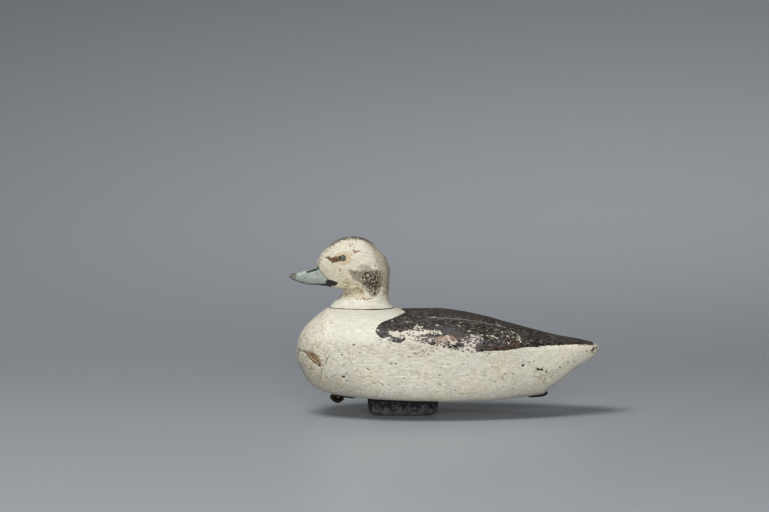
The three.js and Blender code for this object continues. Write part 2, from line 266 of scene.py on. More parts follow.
# What time has done to the body. Marks are [x, distance down from the back] on the duck's left side.
bodyPaint = {
    # the black of back and wings, from the middle of the back behind the neck, round to the tail
    "wing": [
        [-51, 0], [-50, 3], [-48, 12], [-45, 23], [-49, 32], [-56, 45], [-62, 51], [-69, 56], [-75, 62],
        [-78, 68], [-78.5, 72], [-77, 75.5], [-73, 79], [-69, 80], [-65, 82], [-58, 84.5], [-52, 84.5],
        [-47, 82], [-43, 79], [-38, 80.5], [-29, 83.5], [-19, 85], [-10, 87], [2, 87.5], [14, 87.5],
        [22, 88], [28, 87], [35, 84], [45, 80], [55, 76], [72, 69], [82, 63], [92, 57], [101, 53],
        [118, 44], [141, 32], [156, 25], [163, 21], [168, 18], [172, 11], [170, 5], [172, 0],
    ],
    # where the black has gone: outline, how much of it (0.2 an eighth, 0.4 half, 0.85 nearly all),
    # softness. A later row takes the place of an earlier one where they overlap.
    "rubbed": [
        ([[-65, 71.6], [-57, 70.9], [-51.4, 69.3], [-46.9, 69.2], [-38, 66.5], [-33.5, 65.6],
          [-20.1, 66.7], [-10, 68.2], [-5.6, 69.8], [-10.1, 71.7], [-17.9, 72.7], [-30.2, 75.5],
          [-35.8, 76.9], [-39.2, 79.6], [-41.4, 84.2], [-44.8, 85.4], [-46.4, 80.9], [-45.9, 77.9],
          [-50.3, 78.4], [-55.9, 80.2], [-60.3, 78.7], [-63.7, 75.1]], 0.6, 1.8),
        ([[-41, 77.9], [-33.6, 76.1], [-28, 75.4], [-20.2, 75.6], [-11.3, 76.1], [-5.7, 76.7],
          [-6.8, 78.8], [-11.3, 80.8], [-16.9, 82.2], [-19.1, 86], [-23.6, 87], [-29.2, 87], [-35, 86],
          [-40, 84]], 0.38, 1.8),
        ([[-20.1, 68.7], [-11.2, 68], [-4.5, 69.2], [-4.5, 72.5], [-11.2, 73.6], [-20.2, 72.8]], 0.48, 1.2),
        ([[-40.2, 67.3], [-37.9, 63.4], [-34.6, 60.7], [-30.1, 60.1], [-25.6, 62], [-23.4, 64.4],
          [-16.7, 65.7], [-8.9, 66], [-5.6, 67.9], [-5.6, 70], [-17.9, 67.5], [-29, 67.7], [-38, 68]], 0.4,
          1.8),
        ([[19.5, 70.7], [24.7, 66.7], [33.7, 62.5], [40.5, 63.1], [42.6, 67.7], [38, 74], [33.5, 77.6],
          [31.2, 83.3], [26.7, 86.8], [21.1, 87.7], [16.6, 86.5], [18.9, 81.5], [16.6, 77.5]], 0.36, 5),
        ([[20, 78], [26.7, 76.6], [32.3, 77.9], [34.5, 82.1], [33, 92], [24.4, 92], [18, 90]], 0.55, 5),
        ([[-14, 79], [-6, 75], [4, 72], [12, 74], [15, 79], [8, 84], [-4, 86], [-13, 84]], 0.46, 2),
        ([[-12, 84.6], [-2.4, 84.8], [4.3, 85.2], [11, 84.2], [18, 82.6], [19, 89], [9.9, 89.6],
          [2.1, 89.2], [-12, 89]], 0.42, 1),
        ([[-72.6, 78.6], [-67, 77.9], [-63.7, 76.9], [-60.3, 79.3], [-54.8, 80.6], [-50.3, 78.6],
          [-45.9, 76.7], [-44.2, 77.9], [-47, 80.9], [-51.4, 82.8], [-53.7, 84.7], [-58.1, 83.8],
          [-62.6, 82.9], [-65.9, 81.4], [-69.3, 79.9]], 0.34, 1.4),
        ([[48, 60], [60, 47], [78, 37], [90, 39], [86, 54], [70, 63], [52, 68]], 0.2, 5),
        ([[140, 36], [156, 22], [166, 14], [172, 0], [177, 0], [172, 22], [158, 30]], 0.3, 4),
    ],
    # the black under the worn wedge is thin and purplish
    "thinBlack": [
        ([[-43, 75.5], [-28, 74], [-6, 75], [-5, 79], [-17, 84], [-30, 84], [-41, 81]], 1, 1.5),
        ([[-73, 76], [-62, 76], [-46, 77], [-44, 79], [-52, 86], [-63, 85]], 0.7, 1.5),
        ([[14, 72], [22, 67], [34, 62], [43, 65], [42, 76], [34, 84], [20, 84], [13, 80]], 1, 5),
    ],
    "bareWood": [
        ([[-16.9, 80.5], [-14.6, 78.1], [-10.2, 76], [-4.6, 74.7], [1, 73.4], [6.7, 72.6], [10, 73.7],
          [11.1, 76.5], [14.4, 77.4], [14.4, 79.2], [8.8, 82.7], [3.2, 85], [-3.5, 84.8], [-9.1, 84.1],
          [-14.7, 83.3]], 1, 2.8),
    ],
    "orangeEdge": [
        ([[-8, 74.6], [0, 72.4], [8, 71.6], [12, 73.6], [10, 75.2], [2, 75], [-6, 76.4]], 1, 0.9),
    ],
    # painted sheen: a grey-violet patch where the polished black shows a soft reflection
    "polishAndSheen": [
        ([[-5.5, 66.5], [1.3, 62.2], [10.3, 59.7], [19.2, 61], [22, 66.4], [19, 74], [10, 75.5],
          [4.4, 74.3], [-3.4, 73]], 1, 7),
    ],
    # painted highlight: a bluish-grey glint in the middle of the sheen, and a fainter one low behind it
    "bluishHighlight": [
        ([[-2.5, 63.5], [2, 61.2], [9, 60.8], [11.5, 62.5], [7, 65], [0, 65.6]], 1, 1.6),
        ([[42, 70], [54, 67], [66, 62], [66, 67], [54, 72], [44, 75]], 0.7, 3),
    ],
    "rustyEdge": [([[44, 76], [57, 67], [70, 56], [84, 50], [86, 62], [72, 71], [56, 78], [46, 82]], 1, 4)],
    # tan and pinkish specks on the white
    "tanSpecks": [
        ([[-44, 84], [-30, 85], [-13, 86], [-12, 94], [-24, 98], [-38, 97], [-44, 91]], 1, 3),
        ([[-82, 84], [-60, 84], [-56, 89], [-70, 91], [-84, 89]], 0.5, 3),
        ([[48, 84], [62, 79], [76, 74], [80, 80], [66, 90], [52, 92]], 0.6, 4),
    ],
    "olive": [
        ([[96, 76], [108, 73], [126, 66], [131, 70], [120, 84], [108, 92], [98, 88]], 1, 5),
        ([[-168, 40], [-150, 64], [-136, 96], [-138, 112], [-152, 98], [-166, 70]], 0.6, 6),
    ],
    "paleLine": [
        [-20, 42], [-6, 44], [11, 41], [22, 38.8], [33.5, 37.3], [45, 36.2], [56, 34.5], [68, 33.6],
    ],
    # white chips in the black: [x, down, length, radius, tilt]
    "chips": [
        [61, 30, 5, 0.7, 0.5], [76, 40, 3, 1.2, 0.4], [83, 47, 3, 1, 0.9], [83.5, 52, 4, 0.9, 0.9],
        [53, 59, 5, 0.9, 0], [46, 60, 2, 0.8, 0.2], [40, 62, 2, 0.9, -0.3], [30, 66, 3, 1.2, 0.2],
        [26, 61, 2.5, 0.9, -0.4], [15, 55, 2, 1, 0.8], [17, 48, 2, 0.8, 0], [70, 51, 2.5, 0.9, -0.6],
        [70, 61, 2, 0.8, 0.3], [-43, 54, 1.5, 0.9, 0], [-32, 59, 1.2, 1, 0.5], [-10, 59, 3, 0.7, 0],
        [-60, 54, 1.2, 0.8, 0], [-35, 24, 1.5, 0.8, 0.2], [-27, 63, 2.4, 0.9, -0.5],
        [-13, 41.9, 0.8, 1.3, 0], [-76, 70, 1.5, 0.9, 0], [36, 66, 3, 0.8, 0.1], [63, 47, 2.5, 0.7, 0.8],
        [57, 45, 2, 0.7, 0.4],
    ],
    # dark pits and shot holes, in the same way
    "pits": [
        [-103, 84, 0.5, 1.3, 0], [-120, 87, 0.5, 0.8, 0], [-116, 92, 0.6, 0.9, 0.5],
        [-87, 114, 3, 0.7, 0.6], [-115, 118, 2.6, 1.3, 0.4], [-134, 112, 1, 0.8, 0],
        [-111, 125, 3, 0.7, 0.3], [-91, 123, 5, 0.5, 0.05], [-152, 81, 0.4, 0.8, 0],
        [-61, 109, 1.6, 0.9, 0], [-56, 108.6, 1.8, 0.8, 0], [-7, 119, 0.4, 1, 0], [10, 133, 0.4, 0.8, 0],
        [87, 80, 1.6, 1.5, -0.6], [95, 73, 0.4, 1, 0], [104.5, 77, 1.6, 1.5, 0.2],
        [108.5, 75.6, 1.4, 1.6, 0], [114, 76, 0.4, 1.2, 0], [55, 111, 0.4, 0.9, 0], [-166.5, 28, 2, 1, 0],
        [-143, 88, 1.5, 1.2, 0.7], [170, 20, 1.8, 1.4, 0.4], [168.6, 23.5, 1.4, 1.3, -0.5],
        [173.5, 14.5, 1.2, 1.3, 0.6], [-81, 130, 6, 0.5, 0.5],
    ],
    # brown, stained specks and dashes, in the same way
    "brownMarks": [
        [-129, 48, 1, 0.9, 0], [-144, 65, 1, 1, 0], [-31, 124, 1.5, 0.7, 0], [-7, 129, 1.5, 1.2, 0],
        [-163, 24, 2, 1.2, 0], [-160, 26, 1, 1, 0], [-73, 82, 2.4, 0.9, 0.2], [-62, 86, 1, 0.8, 0],
        [-10, 89, 2, 0.8, 0], [-3, 88, 4, 0.8, 0.1], [7, 86, 4, 1.1, 0], [15, 86, 2, 0.8, 0.3],
        [139, 54, 1, 1, 0], [130, 64, 2, 1, 0.8], [66, 98, 4, 0.9, -0.7], [63, 103, 2.4, 0.8, -0.7],
        [169, 25, 2, 1, 0.6], [175, 10, 1.4, 1.4, 0.9], [172, 17.5, 2.6, 1.3, 0.6],
        [166.5, 27, 2.4, 1, 0.5], [164, 21, 3, 1, 0.15], [158, 24.5, 3, 1, 0.1], [152, 28, 2.6, 0.9, 0.1],
        [161, 30, 1, 1, 0], [147, 50, 1, 0.9, 0], [-38, 90, 3, 0.8, 0.1], [-26, 93, 2, 0.8, 0.2],
        [-15, 92, 5, 0.6, 0.15], [-20, 96, 2, 0.8, 0], [-33, 97, 1.5, 0.6, 0], [-90, 87, 4, 0.5, 0.05],
        [-84, 86, 3, 0.5, 0],
    ],
    # the broken place on the breast and its sharp upper edge: [x, z] as seen from the left
    "breastChip": [
        [-161, 76.5], [-157, 78], [-152, 78.6], [-145, 76.4], [-141, 71], [-138.8, 62.6], [-141.6, 59.8],
        [-149.5, 66.5], [-156, 71.5], [-158.5, 75],
    ],
    "chipEdge": [
        [-167, 76], [-163.4, 76.2], [-160.6, 76.4], [-158, 74.6], [-156.6, 72], [-152, 68.4],
        [-147.4, 64.4], [-142, 60.6],
    ],
    "cracks": [
        [[-130, 85], [-132, 88], [-134, 92], [-136, 95], [-140, 98], [-140, 102], [-141, 109]],
        [[-135, 84], [-135.4, 88]],
        [[-77, 129], [-73, 131], [-69, 134]],
    ],
    "radii": {"cracks": 0.5, "paleLine": 1.5, "chipEdge": 0.7},
    # how deep a mark goes, and how far inside its edge it begins and gets to that depth
    "hollows": {"chipEdge": (0.5, -0.7, 0.3), "pits": (0.9, -0.5, 0.8), "cracks": (0.5, -0.5, 0.3),
                "chips": (0.12, -0.4, 0.4)},
    "chip": {"depth": 0.7, "edge": (-0.8, 1.4), "raggedness": (1.8, 3, 3), "runsOut": (9, 1),
             "grainStretch": (0.3, 1, 1), "brokenGrain": (0.35, 1.6, 4), "grainEdge": (0.5, 3)},
}

# The hidden side wears in the same way, more softly, with its own plainer marks:
# how many, the corner [x, down] to corner that they keep to, and their radii.
farSide = {
    "chips": (14, (-60, 25), (90, 60), (0.6, 1.1)),
    "pits": (9, (-140, 85), (110, 120), (0.6, 1.3)),
    "brownMarks": (14, (-150, 90), (130, 130), (0.5, 1.1)),
}
farWear = {"seed": 11, "lengths": (0.4, 3), "tilts": (-0.6, 0.6), "moved": (38, 4), "softer": 2, "share": 0.8}
chance = np.random.default_rng(farWear["seed"])


def markPaths(rows, side):
    return [([onWood(*end, side) for end in strokeEnds(x, down, length, tilt)], radius)
            for x, down, length, radius, tilt in rows]


marks = {}
for key, (count, low, high, radii) in farSide.items():
    ranges = [(low[0], high[0]), (low[1], high[1]), farWear["lengths"], radii, farWear["tilts"]]
    farRows = [[chance.uniform(*span) for span in ranges] for _ in range(count)]
    marks[key] = markPaths(bodyPaint[key], -1) + markPaths(farRows, 1)
for key, paths, sides in (("cracks", bodyPaint["cracks"], [-1]),
                          ("paleLine", [bodyPaint["paleLine"]], [-1, 1])):
    marks[key] = [([onWood(*p, side) for p in path], bodyPaint["radii"][key])
                  for side in sides for path in paths]

bodyMesh = loftMesh("duckBody", bodyRings, {"down": bodyGirths})

# Finer faces round the small marks, so that their edges and hollows are real.
bm = bmesh.new()
bm.from_mesh(bodyMesh)
bm.verts.ensure_lookup_table()
points = pointsOf(bodyMesh)
close = deepest(points, [stroke for strokes in marks.values() for stroke in strokes]) > -body["finerRound"]
close |= (points[:, 1] < 0) & (insideOf(points[:, [0, 2]], bodyPaint["breastChip"]) > -body["finerRoundChip"])
chosen = [e for e in bm.edges if any(all(close[v.index] for v in f.verts) for f in e.link_faces)]
bmesh.ops.subdivide_edges(bm, edges=chosen, cuts=1, use_grid_fill=True)
bm.to_mesh(bodyMesh)
bm.free()
bodyMesh.update()
print("body:", len(bodyMesh.vertices), "points")

points = pointsOf(bodyMesh)
flat = np.stack([points[:, 0], valuesOf(bodyMesh, "down")], axis=1)
near = points[:, 1] < 0


# How much of a state each place has, from rows of outline, amount and softness.
def zones(rows):
    level = np.zeros(len(points))
    for outline, amount, soft in rows:
        farSoft = soft * farWear["softer"]
        share = np.where(near, smoothstep(-soft, soft, insideOf(flat, outline)), farWear["share"]
                         * smoothstep(-farSoft, farSoft, insideOf(flat + farWear["moved"], outline)))
        level += (amount - level) * share
    return level


# The head's foot on the seat, for the dirt line round it.
foot = {"middle": -94.5, "halfLength": 37.5, "halfBreadth": 26.8, "faceTaper": 0.17, "corners": 72,
        "aboveZ": 112, "planedEdge": (3, -3)}
footOutline = []
for angle in np.linspace(0, 2 * math.pi, foot["corners"], endpoint=False):
    footOutline.append([foot["middle"] + foot["halfLength"] * math.cos(angle),
                        foot["halfBreadth"] * math.sin(angle) * (1 + foot["faceTaper"] * math.cos(angle))])
toFoot = insideOf(points[:, :2], footOutline)
leftView = points[:, [0, 2]]
outlines = {
    "wing": insideOf(flat, bodyPaint["wing"], closed=False),
    "breastChip": np.where(near, insideOf(leftView, bodyPaint["breastChip"]), -9),
    "joint": np.where(points[:, 2] > foot["aboveZ"], toFoot, -9),
}
strokes = {key: deepest(points, marks[key]) for key in marks}
insideChipEdge = bodyPaint["radii"]["chipEdge"] - fromPath(leftView, bodyPaint["chipEdge"])
strokes["chipEdge"] = np.where(near, insideChipEdge, -3)
for fields, limit in ((outlines, 4), (strokes, 3)):
    for key, values in fields.items():
        keepValues(bodyMesh, key, values, limit)
for key in ("rubbed", "thinBlack", "bareWood", "orangeEdge", "polishAndSheen", "bluishHighlight", "rustyEdge", "tanSpecks",
            "olive"):
    keepValues(bodyMesh, key, zones(bodyPaint[key]))

# General states of the paint, each a product of fades: axis (0 along the body, 2 up it), where there
# is none of it and where it is full. calm is the evenly worn lower middle of the sides.
fades = {
    "clean": [(0, -140, -118), (0, -48, -66), (2, 86, 100)],
    # litStern and litShoulder are painted light: whiter paint on the stern and the upper breast stands in for
    # the light that falls there
    "litStern": [(0, 70, 125), (2, 30, 50)], "litShoulder": [(0, -118, -135), (2, 82, 94)],
    "breast": [(0, -112, -158), (2, 118, 92)], "belly": [(2, 75, 22)],
    "calm": [(2, 75, 22), (0, -85, -45), (0, 120, 80)],
    "front": [(0, -95, -165)], "stern": [(0, 120, 176)],
}
state = {key: np.prod([smoothstep(none, full, points[:, axis]) for axis, none, full in rows], axis=0)
         for key, rows in fades.items()}
grime = {"belly": 0.2, "front": 0.5, "stern": 0.1}
# painted light, full on the stern and a little less on the upper breast
state["paintedLight"] = np.maximum(state["litStern"], 0.8 * state["litShoulder"])
state["grime"] = sum(amount * state[key] for key, amount in grime.items())
for key in ("clean", "paintedLight", "grime", "breast", "belly", "calm"):
    keepValues(bodyMesh, key, state[key])

relief = unevenness(points, *body["unevenness"])
# the seat is planed flat
relief *= np.clip(smoothstep(*foot["planedEdge"], toFoot) + (points[:, 2] < foot["aboveZ"]), 0, 1)
# the chip has a ragged edge and broken grain, and runs out away from its sharp upper edge
chip = bodyPaint["chip"]
ragged = smoothstep(*chip["edge"], outlines["breastChip"] + unevenness(points, chip["raggedness"]))
relief -= chip["depth"] * ragged * smoothstep(*chip["runsOut"], -strokes["chipEdge"])
grain = unevenness(points * chip["grainStretch"], chip["brokenGrain"])
relief += grain * smoothstep(*chip["grainEdge"], outlines["breastChip"])
for key, (depth, begins, deepAt) in bodyPaint["hollows"].items():
    relief -= depth * smoothstep(begins, deepAt, strokes[key])
carve(bodyMesh, relief)
duckBody = addObject("duckBody", bodyMesh)

# The head's and the bill's lines.
head = {
    "footZ": 123.6, "crownZ": 205.1, "faceTaper": 0.17,
    "front": [
        [123.6, -132], [127, -129.4], [130.4, -126.6], [134, -121.2], [138, -118], [142, -116],
        [145, -117.6], [146.3, -124.8], [147.5, -134], [152, -138.5], [160, -142], [168, -145.8],
        [174, -146.3], [181, -143.2], [187, -139.8], [195, -131], [200, -124.5], [203.5, -116.5],
        [205.1, -105],
    ],
    "back": [
        [123.6, -57], [126, -59.6], [130, -62.6], [135, -63.8], [150, -63.6], [164, -62.5], [172, -63.7],
        [182, -67.8], [189, -75], [196, -80.8], [200.5, -87.5], [203.8, -95], [205.1, -105],
    ],
    "breadth": [
        [123.6, 26.8], [127, 24.2], [131, 21.6], [135, 20], [141, 19.4], [150, 21], [160, 23.4], [168, 24],
        [176, 23.4], [184, 21.9], [191, 19.4], [197, 15.8], [202, 10.4], [205.1, 0],
    ],
    "levels": 150, "around": 220, "grid": 0.62, "easing": 3, "jointDirt": 0.5,
    "unevenness": [(0.22, 15, 5), (0.07, 4, 6)],  # knife, then sandpaper: height, span, seed
}
bill = {
    "tipX": -178, "rootX": -128, "edgeShare": 0.42, "fullness": 2.3, "stations": 90, "around": 120,
    "tipInset": 0.4,
    "culmen": [
        [-178, 158.5], [-176.5, 160.9], [-172.5, 162.9], [-167, 164.8], [-158, 167.5], [-150, 169.1],
        [-142, 171], [-128, 172],
    ],
    "under": [
        [-178, 158.5], [-176, 156.4], [-170, 154.1], [-163, 151.5], [-155, 149.9], [-145, 149.5],
        [-137, 148.2], [-128, 147.4],
    ],
    "breadth": [[-178, 0], [-176, 4.9], [-171, 7.5], [-164, 8.8], [-154, 9.3], [-142, 10.2], [-128, 11.2]],
    "nostril": [[-156.6, 165], [-152.4, 166.1], [-147.2, 167.9], [-145.6, 169.4]],
    "nostrilRadius": 1.4, "nostrilDepth": 0.9, "nostrilOut": 2.5,
    "faceLine": [
        [-146.5, 178], [-145.5, 171.9], [-142.3, 166], [-137.2, 160.1], [-132.2, 155.4], [-131, 146],
    ],
    "faceFromZ": 144, "faceToZ": 178, "faceStep": 0.5,
    "grooveDepth": 0.45, "grooveFromZ": 148, "grooveToZ": 175,
}
# shadeReach is how far past the glass the painted shade of the socket reaches
eye = {"at": [-115.9, 181.2], "radius": 3, "depth": 2.6, "dome": 1.3, "gap": 0.3, "rings": 24, "around": 48,
       "rim": 0.3, "shadeReach": 0.6, "drilledFrom": 6, "flatRound": (1.6, 0.8), "flatFromY": 12}


# Stretches that make the lines round at the crown and at the bill's tip.
def upHead(z):
    return -np.sqrt(np.maximum(head["crownZ"] - z, 0))


def alongBill(x):
    return np.sqrt(np.maximum(x - bill["tipX"], 0))


headFront, headBack, headBreadth = (smoothLine(head[key], upHead) for key in ("front", "back", "breadth"))
billTop, billUnder, billBreadth = (smoothLine(bill[key], alongBill) for key in ("culmen", "under", "breadth"))


def headSide(x, z):
    middle = (headFront(z) + headBack(z)) / 2
    along = (x - middle) / ((headBack(z) - headFront(z)) / 2)
    return headBreadth(z) * math.sqrt(1 - along ** 2) * (1 + head["faceTaper"] * along)


print("head: lofting")
angles = np.linspace(0, 2 * math.pi, head["around"], endpoint=False)
lowest = math.sqrt(head["crownZ"] - head["footZ"])
headRings = []
for share in np.linspace(0, 1, head["levels"], endpoint=False):
    z = head["crownZ"] - (lowest * (1 - share)) ** 2
    middle, half = (headFront(z) + headBack(z)) / 2, (headBack(z) - headFront(z)) / 2
    headRings.append(np.stack([
        middle + half * np.cos(angles),
        headBreadth(z) * np.sin(angles) * (1 + head["faceTaper"] * np.cos(angles)),
        np.full(len(angles), z),
    ], axis=1))
duckHead = addObject("duckHead", loftMesh("duckHead", headRings))

angles = np.linspace(0, 2 * math.pi, bill["around"], endpoint=False)
billRings = []
for share in (np.arange(bill["stations"]) + bill["tipInset"]) / (bill["stations"] - 1 + bill["tipInset"]):
    x = bill["tipX"] + (bill["rootX"] - bill["tipX"]) * share ** 2
    edge = billUnder(x) + bill["edgeShare"] * (billTop(x) - billUnder(x))
    rise = np.where(np.sin(angles) >= 0, billTop(x) - edge, edge - billUnder(x))
    billRings.append(np.stack([
        np.full(len(angles), x),
        billBreadth(x) * power(np.cos(angles), 2 / bill["fullness"]),
        edge + rise * power(np.sin(angles), 2 / bill["fullness"]),
    ], axis=1))
spares = [addObject("billWood", loftMesh("billWood", billRings))]
for side in (-1, 1):  # the drilled eye sockets
    drill = bmesh.new()
    depth = eye["depth"] + eye["gap"]
    radius = (eye["radius"] + eye["gap"]) * mm
    bmesh.ops.create_cone(drill, cap_ends=True, segments=eye["around"], radius1=radius, radius2=radius,
                          depth=(depth + eye["drilledFrom"]) * mm)
    bmesh.ops.rotate(drill, verts=drill.verts, cent=(0, 0, 0), matrix=Matrix.Rotation(math.pi / 2, 3, "X"))
    out = side * (headSide(*eye["at"]) + (eye["drilledFrom"] - depth) / 2)
    bmesh.ops.translate(drill, verts=drill.verts, vec=Vector((eye["at"][0], out, eye["at"][1])) * mm)
    drillMesh = bpy.data.meshes.new("drill")
    drill.to_mesh(drillMesh)
    drill.free()
    spares.append(addObject("drill", drillMesh))
for spare in spares:
    join = duckHead.modifiers.new(spare.name, "BOOLEAN")
    join.operation = "UNION" if spare == spares[0] else "DIFFERENCE"
    join.object, join.solver = spare, "EXACT"
even = duckHead.modifiers.new("even", "REMESH")
even.mode, even.voxel_size, even.use_smooth_shade = "VOXEL", head["grid"] * mm, True
ease = duckHead.modifiers.new("ease", "SMOOTH")
ease.factor, ease.iterations = 0.5, head["easing"]


def evaluatedMesh(thing):
    depsgraph = bpy.context.evaluated_depsgraph_get()
    return bpy.data.meshes.new_from_object(thing.evaluated_get(depsgraph))


headMesh = evaluatedMesh(duckHead)
duckHead.modifiers.clear()
duckHead.data = headMesh
for spare in spares:
    bpy.data.objects.remove(spare)
print("head:", len(headMesh.vertices), "points")

# Outlines on the head as [x, z], seen from the left and mirrored to the right.
headPaint = {
    "eyeStain": [
        [-135.6, 181.5], [-132.7, 183.2], [-128.4, 181.6], [-121.5, 184.2], [-117, 183], [-117, 178.8],
        [-121, 177.6], [-123.8, 176.2], [-127, 175.8], [-130.7, 177.4], [-133.2, 180],
    ],
    "eyeHalo": [
        [-136, 182], [-130, 184.5], [-125, 186], [-119.3, 189.4], [-112.4, 190.2], [-106, 187],
        [-104.6, 179.4], [-108, 173.8], [-114.6, 171], [-120, 174], [-128, 175], [-134, 178],
    ],
    "cheek": [
        [-110.3, 169.8], [-102.1, 168.6], [-89.7, 168.8], [-80.6, 168.4], [-72, 168], [-70.8, 160],
        [-71.2, 151.5], [-73, 143], [-78.6, 136.6], [-84.8, 137.6], [-89.2, 143.5], [-94.2, 149.5],
        [-98.2, 154.4], [-104.2, 156.3], [-107.4, 162.2],
    ],
    "cheekCore": [[-94, 167], [-78, 167], [-73, 160], [-73, 148], [-80, 142], [-86, 144], [-93, 153]],
    "cheekSmear": [[-102, 170.5], [-94, 174.8], [-84.5, 173.4], [-82, 168.4], [-90, 167]],
    "napeGrime": [
        [-96, 203], [-86, 206], [-70, 196], [-60, 180], [-56, 160], [-56, 138], [-71, 138], [-73, 150],
        [-74.5, 166], [-80, 178], [-82, 187], [-88, 195],
    ],
    "neckTan": [[-118, 156.5], [-104, 157], [-95, 150], [-90, 144], [-90, 138], [-100, 135.5], [-113, 137]],
    "gape": [
        [-134.8, 156], [-130.3, 156.2], [-121.6, 153.4], [-122.6, 150.6], [-126, 148.4], [-132.8, 149.5],
        [-136.4, 152.6],
    ],
    "billLower": [
        [-174, 156.7], [-166.3, 154], [-158.4, 151.3], [-147, 150.9], [-137, 151.4], [-130, 152.6],
        [-128, 140], [-180, 140],
    ],
    "wornTip": [[-180, 165], [-172.5, 163.6], [-168.5, 162.4], [-170.2, 158.4], [-172, 154.5], [-180, 150]],
    "face": [
        [-147, 172], [-141, 177], [-132, 178], [-122, 177], [-116, 171], [-108, 168], [-106, 158],
        [-111, 147], [-125, 143], [-134, 150], [-143, 162],
    ],
    "rim": [
        [-148, 172], [-142, 186], [-131, 200], [-118, 207], [-96, 207], [-80, 199], [-84, 195], [-97, 201],
        [-116, 202], [-128, 196], [-138, 184], [-142, 172],
    ],
    "billTop": [[-171, 162], [-160, 165.6], [-150, 167.4], [-150, 164.6], [-160, 162.4], [-170, 160]],
}
headMarks = {
    "collarLine": [
        [-124, 134.6], [-117.4, 133.2], [-111.4, 132.4], [-105.7, 132], [-93.8, 132.7], [-84.6, 134.2],
        [-77.2, 136], [-69.3, 138], [-58, 139],
    ],
    # the dark band over the crown: [x, y]
    "crownBand": [
        [-141.6, 0], [-137, 5], [-128, 8], [-118, 10.5], [-104, 12], [-92, 11], [-82, 7], [-76, 0],
        [-76, -9], [-141.6, -9],
    ],
    "crownFromZ": 178,
    # brown marks: [x, z, length, radius, tilt]
    "brown": [
        [-107.6, 195.3, 1.6, 0.8, -0.9], [-100.2, 188.9, 4.4, 1.5, 0.1], [-106.4, 186, 0.8, 0.9, 0],
        [-104, 190.4, 3, 0.6, 0.8], [-96.5, 188.3, 2, 0.7, 0], [-135.1, 181.5, 0.6, 1.3, 0],
        [-119.2, 167.9, 0.5, 0.9, 0], [-92.6, 135.6, 2.4, 1.1, -0.7], [-97.7, 134.6, 6, 0.6, 0.06],
        [-86, 134.9, 6, 0.6, 0.2], [-109, 133.6, 5, 0.5, 0],
    ],
    "collarDepth": 0.35, "collarFromX": -122, "gapeDepth": 0.3, "paintEndsZ": (134.5, 132.5),
}
points = pointsOf(headMesh)
side = points[:, [0, 2]]
x, y, z = points.T
toLine = fromPath(side, bill["faceLine"])
faceX, faceZ = zip(*bill["faceLine"][::-1])
onFace = (x < np.interp(z, faceZ, faceX)) & (z < bill["faceToZ"]) & (z > bill["faceFromZ"])
onBill = np.where(onFace, toLine, -toLine)
nostril = bill["nostrilRadius"] - fromPath(side, bill["nostril"])
nostril = np.where(np.abs(y) > bill["nostrilOut"], nostril, -3)
toCollar = fromPath(side, headMarks["collarLine"])
collarX, collarZ = zip(*headMarks["collarLine"])
fromEye = np.hypot(x - eye["at"][0], z - eye["at"][1])
crown = insideOf(np.stack([x, np.abs(y)], axis=1), headMarks["crownBand"])
brownStrokes = [(strokeEnds(*row[:3], row[4]), row[3]) for row in headMarks["brown"]]
headFields = {
    "onBill": (onBill, 4), "joint": (head["footZ"] + head["jointDirt"] - z, 4),
    "crownBand": (np.where(z > headMarks["crownFromZ"], crown, -4), 4),
    "nostril": (nostril, 3), "faceLine": (np.where(z < bill["faceToZ"], 0.5 - toLine, -3), 3),
    "socketShade": (eye["radius"] + eye["shadeReach"] - fromEye, 3), "collar": (np.interp(x, collarX, collarZ) - z, 6),
    "brownMarks": (deepest(side, brownStrokes, -3.0), 9),
    "clean": (smoothstep(*headMarks["paintEndsZ"], z), 1),
    **{key: (insideOf(side, outline), 4) for key, outline in headPaint.items()},
}
for key, (values, limit) in headFields.items():
    keepValues(headMesh, key, values, limit)

relief = unevenness(points, *head["unevenness"])
farRim, nearRim = (eye["radius"] + reach for reach in eye["flatRound"])
relief *= 1 - smoothstep(farRim, nearRim, fromEye) * (np.abs(y) > eye["flatFromY"])
relief *= smoothstep(head["footZ"], head["footZ"] + 2, z)
# The head's hollows: depth, the distances at which each begins and reaches it, from what, and where.
for depth, begins, deepAt, distance, where in (
    (bill["faceStep"], -0.5, 0.5, onBill, smoothstep(9, 3, onBill)),
    (bill["grooveDepth"], 0.9, 0.1, toLine, (z < bill["grooveToZ"]) & (z > bill["grooveFromZ"])),
    (bill["nostrilDepth"], -0.4, 0.6, nostril, 1),
    (headMarks["collarDepth"], 1.6, 0.2, toCollar, x > headMarks["collarFromX"]),
    (headMarks["gapeDepth"], -0.6, 0.8, insideOf(side, headPaint["gape"]), 1),
):
    relief -= depth * smoothstep(begins, deepAt, distance) * where
carve(headMesh, relief)


# A turned shape from [radius, height] points. placed gives each of its points a place in mm.
def turnedMesh(name, outline, around, placed):
    made = bmesh.new()
    turns = np.linspace(0, 2 * math.pi, around, endpoint=False)
    rings = []
    for radius, height in outline:
        rings.append([made.verts.new(Vector(placed(radius * math.cos(t), radius * math.sin(t), height)) * mm)
                      for t in turns])
    for a, b in zip(rings[:-1], rings[1:]):
        for s in range(around):
            t = (s + 1) % around
            made.faces.new((a[s], a[t], b[t], b[s]))
    bmesh.ops.remove_doubles(made, verts=made.verts, dist=0.003 * mm)
    bmesh.ops.holes_fill(made, edges=made.edges)
    bmesh.ops.recalc_face_normals(made, faces=made.faces)
    mesh = bpy.data.meshes.new(name)
    made.to_mesh(mesh)
    made.free()
    return mesh


